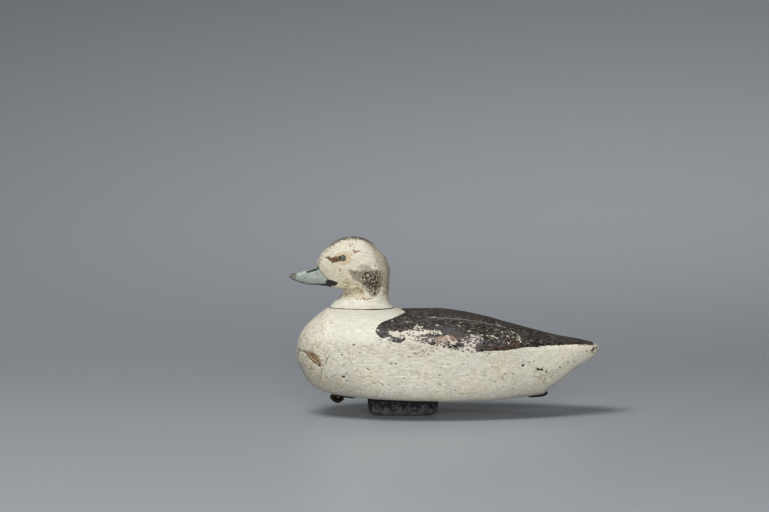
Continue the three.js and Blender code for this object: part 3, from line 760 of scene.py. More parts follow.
# A glass eye: a domed front over a short plug.
def glassEye(name, side):
    outline = [(0.001, -eye["depth"]), (eye["radius"], -eye["depth"]), (eye["radius"], -eye["rim"])]
    for angle in np.linspace(0, math.pi / 2, eye["rings"] + 1):
        outline.append((max(eye["radius"] * math.cos(angle), 0.001), eye["dome"] * math.sin(angle)))
    mesh = turnedMesh(name, outline, eye["around"], lambda u, w, out: (
        eye["at"][0] + u, side * (headSide(*eye["at"]) + out), eye["at"][1] + w))
    places = pointsOf(mesh)
    keepValues(mesh, "fromPupil", np.hypot(places[:, 0] - eye["at"][0], places[:, 2] - eye["at"][1]))
    return addObject(name, mesh)


glassEyeLeft = glassEye("glassEyeLeft", -1)
glassEyeRight = glassEye("glassEyeRight", 1)
print("eyes: set in their sockets")

# The lead weight, cast in an open mould and knocked about since.
weight = {
    "x": -47.5, "flat": [28.5, 11], "full": [39.6, 17.2], "rounding": 9.5, "draft": 2, "height": 25,
    "fullness": 5, "roundingLevels": 26, "wallLevels": 46, "around": 260, "gap": 0.3,
    "unevenness": [(0.35, 9, 8), (0.12, 1.8, 9)],  # casting, then pits: height, span, seed
    "evenBelow": (0, 1.5), "evenAtWood": (0.2, 1.5),
}


def underWood(x, y):
    share = np.clip(np.abs(y) / bodyBeam(x), 0, 1)
    rise = (1 - share ** bodyUnderFullness(x)) ** (1 / bodyUnderFullness(x))
    return bodyBroadest(x) - (bodyBroadest(x) - bodyUnder(x)) * rise


print("weight: lofting")
angles = np.linspace(0, 2 * math.pi, weight["around"], endpoint=False)
weightRings = []
curve = (1 - np.cos(np.linspace(0, math.pi / 2, weight["roundingLevels"]))) * weight["rounding"]
wall = np.linspace(weight["rounding"], weight["height"], weight["wallLevels"])[1:]
for z in [*curve, *wall]:
    swell = math.sqrt(1 - (1 - min(z / weight["rounding"], 1)) ** 2)
    grow = weight["draft"] * max(z - weight["rounding"], 0) / (weight["height"] - weight["rounding"])
    long, wide = (f + (t - f) * swell + grow for f, t in zip(weight["flat"], weight["full"]))
    x = weight["x"] + long * power(np.cos(angles), 2 / weight["fullness"])
    y = wide * power(np.sin(angles), 2 / weight["fullness"])
    weightRings.append(np.stack([x, y, np.minimum(z, underWood(x, y) - weight["gap"])], axis=1))
weightMesh = loftMesh("leadWeight", weightRings)
x, y, z = pointsOf(weightMesh).T
keepValues(weightMesh, "height", z)
carve(weightMesh, unevenness(pointsOf(weightMesh), *weight["unevenness"])
      * smoothstep(*weight["evenBelow"], z) * smoothstep(*weight["evenAtWood"], underWood(x, y) - z))
leadWeight = addObject("leadWeight", weightMesh)


# One node of a tree, with its settings and what feeds it.
def addNode(tree, kind, inputs={}, **settings):
    made = tree.nodes.new(kind)
    for key, value in settings.items():
        setattr(made, key, value)
    for key, value in inputs.items():
        if isinstance(value, bpy.types.NodeSocket):
            tree.links.new(value, made.inputs[key])
        else:
            made.inputs[key].default_value = value
    return made


# Leather straps follow their line: a bar of grid points is bent along the curve.
# Thickness is given at shares of the strap's length, and at x where it lies against the wood.
straps = {
    "width": 13, "clearance": 0.4, "grid": (120, 40, 9),
    "sideSharpness": 14, "endSharpness": 50, "edgeThinning": 0.55, "curlsBetween": (0.3, 0.55),
    "unevenness": [(0.1, 1.6, 12), (0.12, 5, 13)],
    "tie": {
        "curl": 3.2, "thickness": [[0, 2.9], [0.44, 2.9], [0.57, 3.2], [0.66, 2.35], [0.8, 2.35], [1, 1.7]],
        "under": [-101.8, -110, -118, -124.5], "againstWood": [[-124.5, 2.35], [-101.8, 2.35]],
        "loop": [[-128.8, 22.4], [-130, 20.8], [-128.4, 18], [-125.3, 15.7], [-122.4, 15.05], [-119.5, 15.6],
                 [-117, 17.3], [-115.4, 18.8]]},
    "stern": {
        "curl": 0, "thickness": [[0, 2.3], [1, 3.8]],
        "under": [95.6, 99.15, 102.7, 106.25, 109.8, 113.35, 116.9],
        "againstWood": [[95.6, 2.3], [116.9, 3.8]], "loop": []},
}


def strapTree():
    tree = bpy.data.node_groups.new("leatherStrap", "GeometryNodeTree")
    for name, way, kind in (("Geometry", "INPUT", "Geometry"), ("Width", "INPUT", "Float"),
                            ("Curl", "INPUT", "Float"), ("Leather", "INPUT", "Material"),
                            ("Geometry", "OUTPUT", "Geometry")):
        tree.interface.new_socket(name, in_out=way, socket_type="NodeSocket" + kind)
    given = addNode(tree, "NodeGroupInput").outputs
    nx, ny, nz = straps["grid"]
    bar = addNode(tree, "GeometryNodeMeshCube", {
        "Size": (1, 1, 1), "Vertices X": nx, "Vertices Y": ny, "Vertices Z": nz}).outputs[0]
    position = addNode(tree, "GeometryNodeInputPosition").outputs[0]
    at = addNode(tree, "ShaderNodeSeparateXYZ", {0: position}).outputs
    along = addNode(tree, "ShaderNodeMath", {0: at[0], 1: 0.5}, operation="ADD").outputs[0]
    radius = addNode(tree, "GeometryNodeInputRadius").outputs[0]
    line = {"Curves": given["Geometry"], "Value": radius, "Factor": along}
    spot = addNode(tree, "GeometryNodeSampleCurve", line, mode="FACTOR", use_all_curves=True).outputs
    start, end = straps["curlsBetween"]
    curl = addNode(tree, "ShaderNodeMapRange", {
        "Value": along, "From Min": start, "From Max": end, "To Min": 0, "To Max": given["Curl"]},
        interpolation_type="SMOOTHSTEP").outputs[0]
    value = {"x": at[0], "y": at[1], "z": at[2], "curl": curl, "thickness": spot["Value"],
             "width": given["Width"]}
    for result, operation, *parts in (
        # rounded edges: the bar thins towards its sides and ends
        ("side", "MULTIPLY", "y", 2), ("side", "ABSOLUTE", "side"),
        ("side", "POWER", "side", straps["sideSharpness"]),
        ("end", "MULTIPLY", "x", 2), ("end", "ABSOLUTE", "end"),
        ("end", "POWER", "end", straps["endSharpness"]),
        ("edge", "MAXIMUM", "side", "end"), ("slim", "MULTIPLY_ADD", "edge", -straps["edgeThinning"], 1),
        ("up", "MULTIPLY", "z", "thickness"), ("up", "MULTIPLY", "up", "slim"),
        # dried leather curls: the hidden long edge has drawn into the loop
        ("far", "ADD", "y", 0.5), ("far", "POWER", "far", 2), ("up", "MULTIPLY_ADD", "far", "curl", "up"),
        ("wide", "MULTIPLY", "y", "width"),
    ):
        inputs = {k: value.get(part, part) for k, part in enumerate(parts)}
        value[result] = addNode(tree, "ShaderNodeMath", inputs, operation=operation).outputs[0]
    value["sideways"] = addNode(tree, "ShaderNodeCombineXYZ", {"Y": value["wide"]}).outputs[0]
    value["centre"], value["tangent"] = spot["Position"], spot["Tangent"]
    for result, operation, first, key, second in (
        ("outward", "CROSS_PRODUCT", "tangent", 1, (0, 1, 0)), ("lift", "SCALE", "outward", "Scale", "up"),
        ("place", "ADD", "centre", 1, "lift"), ("place", "ADD", "place", 1, "sideways"),
    ):
        inputs = {0: value[first], key: value.get(second, second)}
        value[result] = addNode(tree, "ShaderNodeVectorMath", inputs, operation=operation).outputs[0]
    solid = addNode(tree, "GeometryNodeSetPosition", {"Geometry": bar, "Position": value["place"]}).outputs[0]
    solid = addNode(tree, "GeometryNodeRealizeInstances", {0: solid}).outputs[0]
    solid = addNode(tree, "GeometryNodeSetMaterial", {"Geometry": solid, "Material": given["Leather"]})
    addNode(tree, "NodeGroupOutput", {0: solid.outputs[0]})
    return tree


# How thick a strap is at x, where it lies against the wood.
def againstWood(facts, x):
    return float(np.interp(x, *zip(*facts["againstWood"])))


# The strap's centre line: under the wood first, then round the loop.
def strapPath(facts):
    path = []
    for x in facts["under"]:
        slope = (bodyUnder(x + 2) - bodyUnder(x - 2)) / 4
        drop = (straps["clearance"] + againstWood(facts, x) / 2) / math.hypot(1, slope)
        path.append([float(x + slope * drop), float(bodyUnder(x) - drop)])
    return path + facts["loop"]


# A smooth curve through the points, spaced by the root of their distance, as the part has it.
def throughPoints(points, steps=16):
    p = [2 * np.array(points[0]) - points[1], *map(np.array, points), 2 * np.array(points[-1]) - points[-2]]
    line = []
    for a, b, c, d in zip(p[:-3], p[1:-2], p[2:-1], p[3:]):
        t = np.cumsum([0, *(math.sqrt(np.linalg.norm(v - u)) for u, v in ((a, b), (b, c), (c, d)))])
        for k in range(steps):
            s = t[1] + (t[2] - t[1]) * k / steps
            ab = a + (b - a) * s / t[1]
            bc = b + (c - b) * (s - t[1]) / (t[2] - t[1])
            cd = c + (d - c) * (s - t[2]) / (t[3] - t[2])
            abc = ab + (bc - ab) * s / t[2]
            bcd = bc + (cd - bc) * (s - t[1]) / (t[3] - t[1])
            line.append(abc + (bcd - abc) * (s - t[1]) / (t[2] - t[1]))
    return [*line, p[-2]]


def strapPiece(name, facts, tree, leather):
    curve = bpy.data.curves.new(name, "CURVE")
    curve.dimensions = "3D"
    line = np.array(throughPoints(strapPath(facts)))
    walked = np.concatenate([[0], np.cumsum(np.linalg.norm(np.diff(line, axis=0), axis=1))])
    thickness = smoothLine(facts["thickness"])(walked / walked[-1])
    spline = curve.splines.new("POLY")
    spline.points.add(len(line) - 1)
    for point, (x, z), thick in zip(spline.points, line, thickness):
        point.co, point.radius = (x * mm, 0, z * mm, 1), thick * mm
    piece = addObject(name, curve)
    bend = piece.modifiers.new("strap", "NODES")
    bend.node_group = tree
    wanted = {"Width": straps["width"] * mm, "Curl": facts["curl"] * mm, "Leather": leather}
    for item in tree.interface.items_tree:
        if item.name in wanted:
            bend[item.identifier] = wanted[item.name]
    mesh = evaluatedMesh(piece)
    bpy.data.objects.remove(piece)
    merged = bmesh.new()
    merged.from_mesh(mesh)
    bmesh.ops.remove_doubles(merged, verts=merged.verts, dist=0.001 * mm)
    bmesh.ops.recalc_face_normals(merged, faces=merged.faces)
    merged.to_mesh(mesh)
    merged.free()
    mesh.update()
    carve(mesh, unevenness(pointsOf(mesh), *straps["unevenness"]))
    return addObject(name, mesh)


# Tack heads: flat domes of iron, rusted out of true.
tacks = {"radius": 2.5, "height": 0.9, "gap": 0.3, "tieX": -106, "sternX": 101, "rings": 14, "around": 40,
         "dents": 0.08, "dentsPerMm": 1.3}


def tackPiece(name, x, facts):
    def face(at):
        return float(bodyUnder(at)) - straps["clearance"] - againstWood(facts, at)

    tilt = math.atan((face(x + 2) - face(x - 2)) / 4)

    def placed(u, across, height):
        dent = tacks["dents"] * noise.noise(Vector((u, across, x)) * tacks["dentsPerMm"])
        drop = height * math.cos(tilt) * (1 - abs(dent))
        return (x + u * math.cos(tilt) - height * math.sin(tilt), across * (1 + dent),
                face(x) - tacks["gap"] + u * math.sin(tilt) + drop)

    dome = np.linspace(0.02, math.pi / 2, tacks["rings"])
    outline = [(tacks["radius"] * math.sin(a), -tacks["height"] * math.cos(a)) for a in dome]
    return addObject(name, turnedMesh(name, [*outline, (0.03, 0)], tacks["around"], placed))


def colourOf(hexText):
    parts = [int(hexText[k:k + 2], 16) / 255 for k in (1, 3, 5)]
    return (*(c / 12.92 if c <= 0.04045 else ((c + 0.055) / 1.055) ** 2.4 for c in parts), 1)


# One coat of a finish. Its tint is a colour, or two colours with the size in mm (and the stretch along
# X) of the cloud that mixes them. Its strength at a place is the sum of its patterns and of the
# attributes that it follows, read between two levels. A pattern is (kind, amount, size in mm, stretch
# along X, seed). A coat can also change the roughness and lift or sink the surface, in mm.
def coat(tint, patterns, follows, between, strength=1, **more):
    return {"tint": tint, "patterns": patterns, "follows": follows, "between": between,
            "strength": strength, **more}


# Every pattern's own settings, and those of the clouds that mix two tints.
patternLook = {"detail": 3, "roughness": 0.55, "seedShift": (3.7, 1.3, 2.9),
               "tintDetail": 4, "tintShift": (5.1, 8.3, 2.7), "tintBetween": (0.35, 0.65)}


def patternOn(tree, place, kind, size, stretch, shift, **look):
    scale = 1 / (size * mm)
    spread = addNode(tree, "ShaderNodeMapping", {
        "Vector": place, "Location": shift, "Scale": (scale / stretch, scale, scale)}).outputs[0]
    if kind == "cloud":
        return addNode(tree, "ShaderNodeTexNoise", {"Vector": spread, "Scale": 1, **look}).outputs["Fac"]
    feature = "DISTANCE_TO_EDGE" if kind == "cracks" else "F1"
    cells = addNode(tree, "ShaderNodeTexVoronoi", {"Vector": spread, "Scale": 1}, feature=feature)
    return cells.outputs["Distance"]


# A finish built up in coats, the later ones over the earlier.
def layeredFinish(name, coats, tint, rough, **shader):
    material = bpy.data.materials.new(name)
    material.use_nodes = True
    tree = material.node_tree
    tree.nodes.clear()
    place = addNode(tree, "ShaderNodeTexCoord").outputs["Object"]
    colour, roughness, height = colourOf(tint), rough, 0.0
    for layer in coats:
        parts = []
        for kind, amount, size, stretch, seed in layer["patterns"]:
            shift = [seed * step for step in patternLook["seedShift"]]
            look = {"Detail": layer.get("detail", patternLook["detail"]),
                    "Roughness": patternLook["roughness"]}
            parts.append((patternOn(tree, place, kind, size, stretch, shift, **look), amount))
        for attribute, amount in layer["follows"].items():
            found = addNode(tree, "ShaderNodeAttribute", attribute_name=attribute)
            parts.append((found.outputs["Fac"], amount))
        value = 0.0
        for found, amount in parts:
            value = addNode(tree, "ShaderNodeMath", {0: found, 1: amount, 2: value},
                            operation="MULTIPLY_ADD").outputs[0]
        low, high = layer["between"]
        strength = addNode(tree, "ShaderNodeMapRange", {
            "Value": value, "From Min": low, "From Max": high, "To Min": 0, "To Max": layer["strength"]},
            interpolation_type="SMOOTHSTEP").outputs[0]
        if isinstance(layer["tint"], tuple):
            first, second, size, *stretch = layer["tint"]
            cloud = patternOn(tree, place, "cloud", size, *(stretch or [1]), patternLook["tintShift"],
                              Detail=patternLook["tintDetail"])
            low, high = patternLook["tintBetween"]
            cloud = addNode(tree, "ShaderNodeMapRange", {"Value": cloud, "From Min": low, "From Max": high})
            tints = {0: cloud.outputs[0], 6: colourOf(first), 7: colourOf(second)}
            over = addNode(tree, "ShaderNodeMix", tints, data_type="RGBA").outputs[2]
        elif layer["tint"]:
            over = colourOf(layer["tint"])
        if layer["tint"]:
            tints = {0: strength, 6: colour, 7: over}
            colour = addNode(tree, "ShaderNodeMix", tints, data_type="RGBA").outputs[2]
        if "rough" in layer:
            shares = {0: strength, 2: roughness, 3: layer["rough"]}
            roughness = addNode(tree, "ShaderNodeMix", shares).outputs[0]
        if "lift" in layer:
            height = addNode(tree, "ShaderNodeMath", {0: strength, 1: layer["lift"], 2: height},
                             operation="MULTIPLY_ADD").outputs[0]
    inputs = {"Base Color": colour, "Roughness": roughness, **shader}
    if not isinstance(height, float):
        bump = addNode(tree, "ShaderNodeBump", {"Height": height, "Distance": mm, "Strength": 1})
        inputs["Normal"] = bump.outputs[0]
    skin = addNode(tree, "ShaderNodeBsdfPrincipled", inputs)
    addNode(tree, "ShaderNodeOutputMaterial", {"Surface": skin.outputs[0]})
    return material


# Brushed oil paint on pine: streaks along the grain, fine cracks, dirt where hands and water reach.
# Real brush streaks are about half a millimetre wide and the cracks finer still: both are drawn three
# to four times as coarse, to show.
whitePaint = [
    coat(("#d3cfc0", "#dacdae", 26), [("cloud", 1, 22, 1.6, 1)], {"clean": -0.2}, (0.4, 0.6), 0.7),
    # lighter streaks on the brush ridges: partly the paint's own tone, partly a painted highlight where the
    # ridges catch the light
    coat("#f0ede1", [("cloud", 1, 2.2, 7, 3)], {"calm": -0.05}, (0.5, 0.64), 0.6, lift=0.05),
    coat("#b5ad98", [("cloud", 1, 1.7, 7, 4)], {"grime": 0.08, "clean": -0.12, "calm": -0.03},
         (0.53, 0.66), 0.55, lift=-0.05),
    coat("#a8a08a", [("cloud", 1, 1.2, 6, 9)], {"clean": -0.1}, (0.58, 0.68), 0.5, lift=-0.03),
    coat(("#bfab88", "#a6a18b", 11), [("cloud", 1, 5, 1.6, 2)],
         {"grime": 0.22, "clean": -0.2, "calm": -0.12}, (0.56, 0.84), 0.65),
    coat(("#8d8169", "#a68e66", 6), [("cloud", 1, 2.4, 1.5, 24)],
         {"grime": 0.1, "clean": -0.1, "calm": -0.06}, (0.63, 0.7), 0.7, detail=4, lift=-0.05),
    coat("#8c836c", [("cracks", -1, 3.2, 1.4, 5), ("cloud", 0.12, 9, 1, 6)],
         {"grime": 0.03, "clean": -0.04}, (0.0, 0.05), 0.3, lift=-0.05),
    coat(("#6d5f49", "#4b453a", 8), [("dots", -1, 5, 1.6, 7), ("cloud", 0.6, 12, 1, 8)],
         {"grime": 0.1, "clean": -0.2, "belly": -0.07}, (0.15, 0.21), 0.75, lift=-0.05),
]
bodyCoats = [
    *whitePaint,
    coat(("#7f735a", "#a88a5c", 5), [("cloud", 1, 2, 0.7, 36)], {"breast": 0.1}, (0.66, 0.74), 0.75,
         detail=4, lift=-0.05),
    # painted light: whiter paint on the stern and the upper breast
    coat("#f1ead6", [("cloud", 1, 3, 2, 68)], {"paintedLight": 0.3}, (0.5, 0.9), 0.75),
    coat("#9c967f", [("cloud", 1, 1.6, 6, 25)], {"belly": 0.05}, (0.6, 0.72), 0.4, lift=-0.04),
    coat(("#8d8871", "#a79c80", 3), [("cloud", 1, 1.8, 1.2, 26)], {"olive": 0.14}, (0.6, 0.76), 0.75),
    coat(("#a5907a", "#938b6c", 3), [("cloud", 1, 1.5, 1.4, 27)], {"tanSpecks": 0.14}, (0.64, 0.72), 0.8),
    coat("#7f6a4c", [("cloud", 1.4, 1.5, 1, 10)], {"brownMarks": 1}, (0.4, 1.2), 0.75),
    coat(("#b5a27d", "#a08e6c", 3), [("cloud", 10, 3, 1, 11)], {"breastChip": 1}, (4.6, 6.4), 0.85,
         rough=0.85),
    coat(("#825737", "#9c7a58", 2.6), [("cloud", 9, 3.4, 1, 28)], {"breastChip": 0.45}, (5.2, 5.8), 0.85),
    coat("#4a3825", [("cloud", 9, 2.2, 1, 66)], {"breastChip": 0.35}, (5.9, 6.3), 0.85, lift=-0.1),
    coat("#3f3322", [("cloud", 1.6, 1.5, 1, 29)], {"chipEdge": 1}, (0.7, 1.3), 0.9),
    coat(("#0f0d0b", "#302822", 3.2, 2.2), [("cloud", 3.5, 2.4, 1.8, 12), ("cloud", 1.4, 0.8, 1.2, 37)],
         {"wing": 1}, (2.2, 2.7), rough=0.5, lift=0.06),
    coat(("#6a6054", "#545250", 14), [("cloud", 1, 2.2, 2.6, 22)], {"wing": 0.02}, (0.58, 0.68), 0.72,
         detail=4, lift=0.04),
    coat("#8d8375", [("cloud", 1, 2.6, 1.8, 67)], {"wing": 0.02}, (0.69, 0.75), 0.85, lift=0.04),
    coat("#a39d90", [("dots", -1, 3.6, 1.4, 13), ("cloud", 0.7, 7, 1, 23)], {"wing": 0.01}, (0.22, 0.27),
         0.7),
    coat(("#3b281d", "#6f5a48", 3), [("cloud", 1, 2.6, 1.5, 30)], {"rustyEdge": 0.18, "wing": 0.02},
         (0.72, 0.82), 0.85),
    coat("#6b6164", [("cloud", 0.6, 2.2, 1.6, 31)], {"thinBlack": 1, "wing": 0.02}, (0.7, 1.3), 0.6),
    # painted sheen: grey-violet over the polished black, which is also given a lower roughness
    coat("#5a5553", [("cloud", 1.6, 3.4, 2, 14)], {"polishAndSheen": 1}, (0.9, 2), 0.8, rough=0.4),
    # painted highlight: bluish-grey on the black
    coat("#555c6e", [("cloud", 0.8, 3, 2, 32)], {"bluishHighlight": 0.6}, (0.5, 1.1), 0.6),
    coat(("#e6e0d0", "#cbc3b4", 4), [("cloud", 0.8, 2, 1.7, 15), ("cloud", 0.45, 0.9, 1.3, 33)],
         {"rubbed": 0.42}, (0.785, 0.835), detail=5, rough=0.65, lift=-0.07),
    coat(("#a8978a", "#7d6a5c", 3, 2.2), [("cloud", 1, 2.4, 1.8, 16)], {"bareWood": 0.4}, (0.8, 0.88),
         rough=0.8),
    coat("#dacdbd", [("cloud", 1, 2.4, 1.6, 34)], {"bareWood": 0.2}, (0.75, 0.82), 0.85),
    coat("#3b3029", [("cloud", 1, 2, 1.5, 38)], {"bareWood": 0.2}, (0.74, 0.79), 0.9),
    coat("#b98a5a", [("cloud", 1, 2, 2, 35)], {"orangeEdge": 0.4}, (0.8, 0.95), 0.8),
    coat(("#e2dccb", "#a89e8c", 2.5), [("cloud", 2, 1.6, 1.5, 17)], {"chips": 1}, (0.9, 1.2)),
    coat("#a19b8d", [("cloud", 1.6, 3, 5, 18)], {"paleLine": 1}, (1.35, 1.85), 0.85),
    coat(("#3a3227", "#5b5140", 3), [("cloud", 1.6, 1.6, 1, 19)], {"pits": 1}, (0.7, 1.3), rough=0.9),
    coat("#55472f", [("cloud", 1.4, 2.2, 1, 20)], {"cracks": 1}, (0.5, 1.1), 0.9),
    coat("#2d271e", [("cloud", 4, 3, 1, 21)], {"joint": 1}, (1.2, 2.2)),
]
paintedBody = layeredFinish("Brushed oil paint on carved pine", bodyCoats, "#dbd7c8", 0.65,
                            **{"Specular IOR Level": 0.35})
bodyMesh.materials.append(paintedBody)

# The same paint on the head, handled more: rubbed thin over the crown, and greasy brown round the eye,
# at the nape and on the neck. The bill's colour keeps a little more gloss.
headCoats = [
    *whitePaint,
    coat("#d2c9ac", [("cloud", 5, 6, 1, 44)], {"face": 1}, (1.4, 5.6), 0.65),
    coat("#a59d82", [("cloud", 1, 2.6, 2, 45)], {"face": 0.012}, (0.58, 0.7), 0.5, lift=-0.05),
    coat("#c2ab84", [("cloud", 3, 5, 1, 30)], {"eyeHalo": 1}, (1, 5.5), 0.8),
    coat("#c0b18c", [("cloud", 3, 4, 2, 31)], {"neckTan": 1}, (0.4, 3.6), 0.8),
    coat("#8e8261", [("cloud", 1, 1.5, 5, 46)], {"neckTan": 0.03}, (0.58, 0.64), 0.8, lift=-0.08),
    coat("#e4dac2", [("cloud", 1, 1.5, 5, 53)], {"neckTan": 0.03}, (0.6, 0.66), 0.8, lift=0.05),
    coat(("#aba38a", "#b5ae9b", 5), [("cloud", 6, 3, 1, 32)], {"napeGrime": 1}, (2, 5.6), 0.9),
    coat(("#5a503c", "#7c7360", 3), [("cloud", 9, 2.4, 1, 47)], {"napeGrime": 0.2}, (5.65, 6.05), 0.7,
         lift=-0.05),
    coat("#cfc9b6", [("cloud", 9, 2.3, 1, 48)], {"napeGrime": 0.15}, (5.6, 5.95), 0.8),
    coat("#6b5f49", [("cloud", 9, 2.4, 1, 69)], {"rim": 0.3}, (5.1, 5.6), 0.85, lift=-0.05),
    coat(("#a59b82", "#bdb49c", 4), [("cloud", 1, 2.4, 1.2, 71)], {"clean": -0.2}, (0.6, 0.67), 0.65,
         lift=-0.04),
    coat(("#3d2813", "#694a2b", 2.6), [("cloud", 6, 2.2, 1.2, 33)], {"eyeStain": 1}, (2.9, 3.6), 0.95),
    coat("#8f8b7b", [("cloud", 4, 1.2, 2, 34)], {"cheekSmear": 1}, (1.4, 4), 0.7),
    coat("#8b8371", [("cloud", 6, 2.4, 1, 35)], {"cheek": 1}, (2.4, 4.2), 0.9, rough=0.7),
    coat(("#2b2416", "#453d2d", 3), [("cloud", 9, 2.3, 0.8, 49)], {"cheek": 0.3, "cheekCore": 0.17},
         (5.3, 5.7), 0.95, lift=0.05),
    coat("#c0b8a6", [("cloud", 9, 2, 0.8, 50)], {"cheek": 0.1}, (5.3, 5.7), 0.85),
    coat(("#38332c", "#716a5e", 3), [("cloud", 8, 2.6, 1.4, 36)], {"crownBand": 0.5}, (4.9, 5.4), 0.9),
    coat(("#85603a", "#a3835c", 2.2), [("cloud", 4, 2.1, 1, 51)], {"brownMarks": 1}, (1.85, 2.5), 0.9),
    coat(("#dcd8c9", "#cdc8b6", 5, 3), [("cloud", 1.6, 3, 3, 54)], {"collar": 1}, (0.5, 1.3), lift=0.15),
    coat(("#a2a9a0", "#8e9a93", 6, 2), [], {"onBill": 1}, (-0.15, 0.15), rough=0.42),
    coat("#b9c4c0", [("cloud", 1, 1.8, 4, 37)], {"onBill": 0.04, "billTop": 0.1}, (0.66, 0.85), 0.75),
    coat("#7f8075", [("cloud", 1, 1.8, 3, 52)], {"onBill": 0.02}, (0.6, 0.7), 0.6),
    coat(("#4b3d36", "#8d867d", 2.2), [("cloud", 6, 2.2, 1.5, 38)], {"wornTip": 1}, (2, 4), 0.95),
    coat("#1f2120", [("cloud", 1.2, 2, 2, 39)], {"billLower": 1}, (0.3, 1), rough=0.5),
    coat(("#211a16", "#46353a", 2), [("cloud", 1.6, 1.5, 1, 40)], {"gape": 1}, (0.6, 1.2)),
    # painted shade: a dark line along the carved groove between bill and face
    coat("#20231f", [("cloud", 0.6, 1.5, 1, 41)], {"faceLine": 1}, (0.2, 0.55), 0.85),
    coat("#26302b", [("cloud", 0.8, 1.5, 1, 42)], {"nostril": 1}, (0.1, 0.7)),
    # painted shade: a dark ring round the glass eye, where its socket is shaded
    coat("#2b2f26", [("cloud", 0.6, 1, 1, 43)], {"socketShade": 1}, (0.3, 0.7)),
    coat("#2d271e", [("cloud", 3, 3, 1, 21)], {"joint": 1}, (1.5, 2.3)),
]
paintedHead = layeredFinish("Worn oil paint on carved pine head", headCoats, "#e0dccc", 0.6,
                            **{"Specular IOR Level": 0.3})
headMesh.materials.clear()
headMesh.materials.append(paintedHead)

# Blown glass over a painted iris: glossy, dark at the rim.
eyeGlass = layeredFinish("Glass eye", [
    coat("#7f867a", [], {"fromPupil": -1}, (-2.5, -2.1)),
    coat("#0c0e0f", [], {"fromPupil": -1}, (-1.2, -0.9)),
], "#232a28", 0.2, **{"Specular IOR Level": 0.25})

# Cast lead, oxidised nearly black and dull, and mottled; painted light makes it lighter low down, clear of
# the shade under the body.
castLead = layeredFinish("Oxidised cast lead", [
    coat("#2b2c2f", [("cloud", 1, 6, 1.5, 50)], {}, (0.45, 0.65), 0.7, rough=0.6),
    # painted light: mottled lighter grey low down, fading out higher up where the body's shade falls
    coat(("#727375", "#4a4b4e", 4), [("cloud", 9, 3.4, 1.3, 51)], {"height": -0.16}, (1.7, 4.1), 0.8),
    coat("#121214", [("dots", -1, 2.4, 1, 52), ("cloud", 0.5, 5, 1, 53)], {}, (0.0, 0.15), 0.8, lift=-0.15),
    coat(None, [("cloud", 1, 1.4, 1, 54)], {}, (0.2, 0.8), lift=0.15),
], "#1d1d1e", 0.7, Metallic=0.2)
weightMesh.materials.append(castLead)

# Old harness leather, dried out: dull and dark, with fine cracks and a few pale scuffs.
oldLeather = layeredFinish("Dried harness leather", [
    coat(("#463d31", "#26201a", 4), [("cloud", 1, 3, 2, 60)], {}, (0.4, 0.6)),
    coat("#15110e", [("cracks", -1, 1.8, 1, 61)], {}, (-0.09, -0.02), lift=-0.12),
    coat("#7d674c", [("cloud", 1, 0.8, 4, 62)], {}, (0.62, 0.72), 0.5, lift=0.05),
], "#30261d", 0.82)
# Rusted iron: red-brown and grainy, with hardly any metal shine left.
rustedIron = layeredFinish("Rusted iron tack", [
    coat(("#6b3a20", "#3a2318", 1.5), [("cloud", 1, 0.9, 1, 70)], {}, (0.4, 0.6), lift=0.06),
], "#2e2622", 0.8, Metallic=0.3)
print("finishes:", len(bpy.data.materials))

tree = strapTree()
lineTie = strapPiece("lineTie", straps["tie"], tree, oldLeather)
sternStrap = strapPiece("sternStrap", straps["stern"], tree, oldLeather)
tieTack = tackPiece("lineTieTack", tacks["tieX"], straps["tie"])
sternTack = tackPiece("sternStrapTack", tacks["sternX"], straps["stern"])
print("straps: bent along their lines and tacked")
for piece, finish in ((glassEyeLeft, eyeGlass), (glassEyeRight, eyeGlass), (tieTack, rustedIron),
                      (sternTack, rustedIron)):
    piece.data.materials.append(finish)

for piece, node, finish in (
    (duckBody, "decoy_body", "body_paint"), (duckHead, "decoy_head", "head_paint"),
    (glassEyeLeft, "eye_left", "eye_glass"), (glassEyeRight, "eye_right", "eye_glass"),
    (leadWeight, "keel_weight", "keel_lead"), (lineTie, "line_tie", "strap_leather"),
    (sternStrap, "stern_strap", "strap_leather"), (tieTack, "line_tie_tack", "tack_iron"),
    (sternTack, "stern_strap_tack", "tack_iron"),
):
    piece.data.shade_smooth()
    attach(piece, "root")
    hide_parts(node)

# Studio: a shallow grey bowl of paper all round, one large soft light from the upper left,
# a broad one from the front that gloss doesn't show, a weak one above, and one behind the duck
# that only lights the paper.
studio = {
    "flatRadius": 0.7, "bowlRadius": 5.5, "bowlHeight": 1.5, "bowlPower": 2.2, "rings": 60, "around": 128,
    "paper": "#a9adb2", "worldTint": "#e6eaf0", "worldStrength": 0.06,
    "lights": [  # name, place, aimed at, size, watts, whether gloss shows it
        ("key", (-0.9, -1.25, 2.7), (-0.03, 0, 0.08), 1.5, 60, True),
        ("front", (0, -3, 0.6), (0, 0, 0.08), 1.4, 65, False),
        ("wall", (0.4, 1.6, 2.2), (0.4, 4.2, 0.9), 1.2, 31, True),
        ("top", (0.1, 1.4, 2.4), (0, 0.2, 0.05), 1.8, 5, True),
    ],
    "cameraAim": (-68.7, 0, 182.5), "cameraDistance": 2440, "cameraElevation": 3.6, "lens": 99.8,
    "filmWidth": 36,
}
sweep = bmesh.new()
turns = np.linspace(0, 2 * math.pi, studio["around"], endpoint=False)
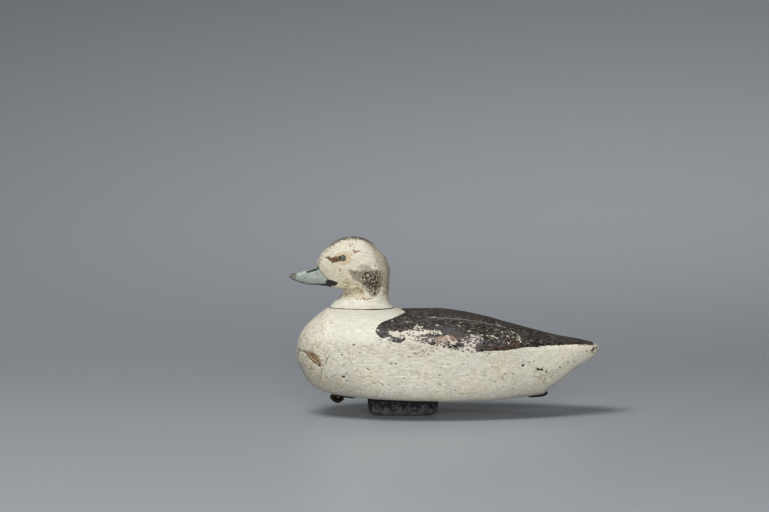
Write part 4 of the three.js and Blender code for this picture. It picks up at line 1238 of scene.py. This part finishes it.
inner = [sweep.verts.new((0, 0, 0))]
for r in np.linspace(0, studio["bowlRadius"], studio["rings"])[1:]:
    climb = max(r - studio["flatRadius"], 0) / (studio["bowlRadius"] - studio["flatRadius"])
    height = studio["bowlHeight"] * climb ** studio["bowlPower"]
    outer = [sweep.verts.new((r * math.cos(t), r * math.sin(t), height)) for t in turns]
    for s in range(len(turns)):
        t = (s + 1) % len(turns)
        if len(inner) == 1:
            sweep.faces.new((inner[0], outer[s], outer[t]))
        else:
            sweep.faces.new((inner[s], outer[s], outer[t], inner[t]))
    inner = outer
sweepMesh = bpy.data.meshes.new("studioSweep")
sweep.to_mesh(sweepMesh)
sweep.free()
sweepMesh.shade_smooth()
# Studio paper: nearly matt, so that the lights show on it only as broad soft pools.
paper = layeredFinish("Matt studio paper", [], studio["paper"], 0.42, **{"Specular IOR Level": 0.36})
sweepMesh.materials.append(paper)
backdrop = addObject("studioSweep", sweepMesh)

world = bpy.data.worlds.new("studio")
bpy.context.scene.world = world
world.use_nodes = True
world.node_tree.nodes["Background"].inputs["Color"].default_value = colourOf(studio["worldTint"])
world.node_tree.nodes["Background"].inputs["Strength"].default_value = studio["worldStrength"]
for name, place, aim, size, watts, mirrored in studio["lights"]:
    light = bpy.data.lights.new(name, "AREA")
    light.shape, light.size, light.energy = "DISK", size, watts
    lamp = addObject(name, light)
    lamp.location = place
    lamp.rotation_euler = (Vector(aim) - Vector(place)).to_track_quat("-Z", "Y").to_euler()
    lamp.visible_camera = False
    lamp.visible_glossy = mirrored

camera = addObject("camera", bpy.data.cameras.new("camera"))
elevation = math.radians(studio["cameraElevation"])
aim = Vector(studio["cameraAim"]) * mm
camera.location = aim + studio["cameraDistance"] * mm * Vector((0, -math.cos(elevation), math.sin(elevation)))
camera.rotation_euler = (aim - camera.location).to_track_quat("-Z", "Y").to_euler()
camera.data.lens, camera.data.sensor_width = studio["lens"], studio["filmWidth"]
bpy.context.scene.camera = camera
bpy.context.scene.view_settings.view_transform = "Standard"
print("studio: lit")
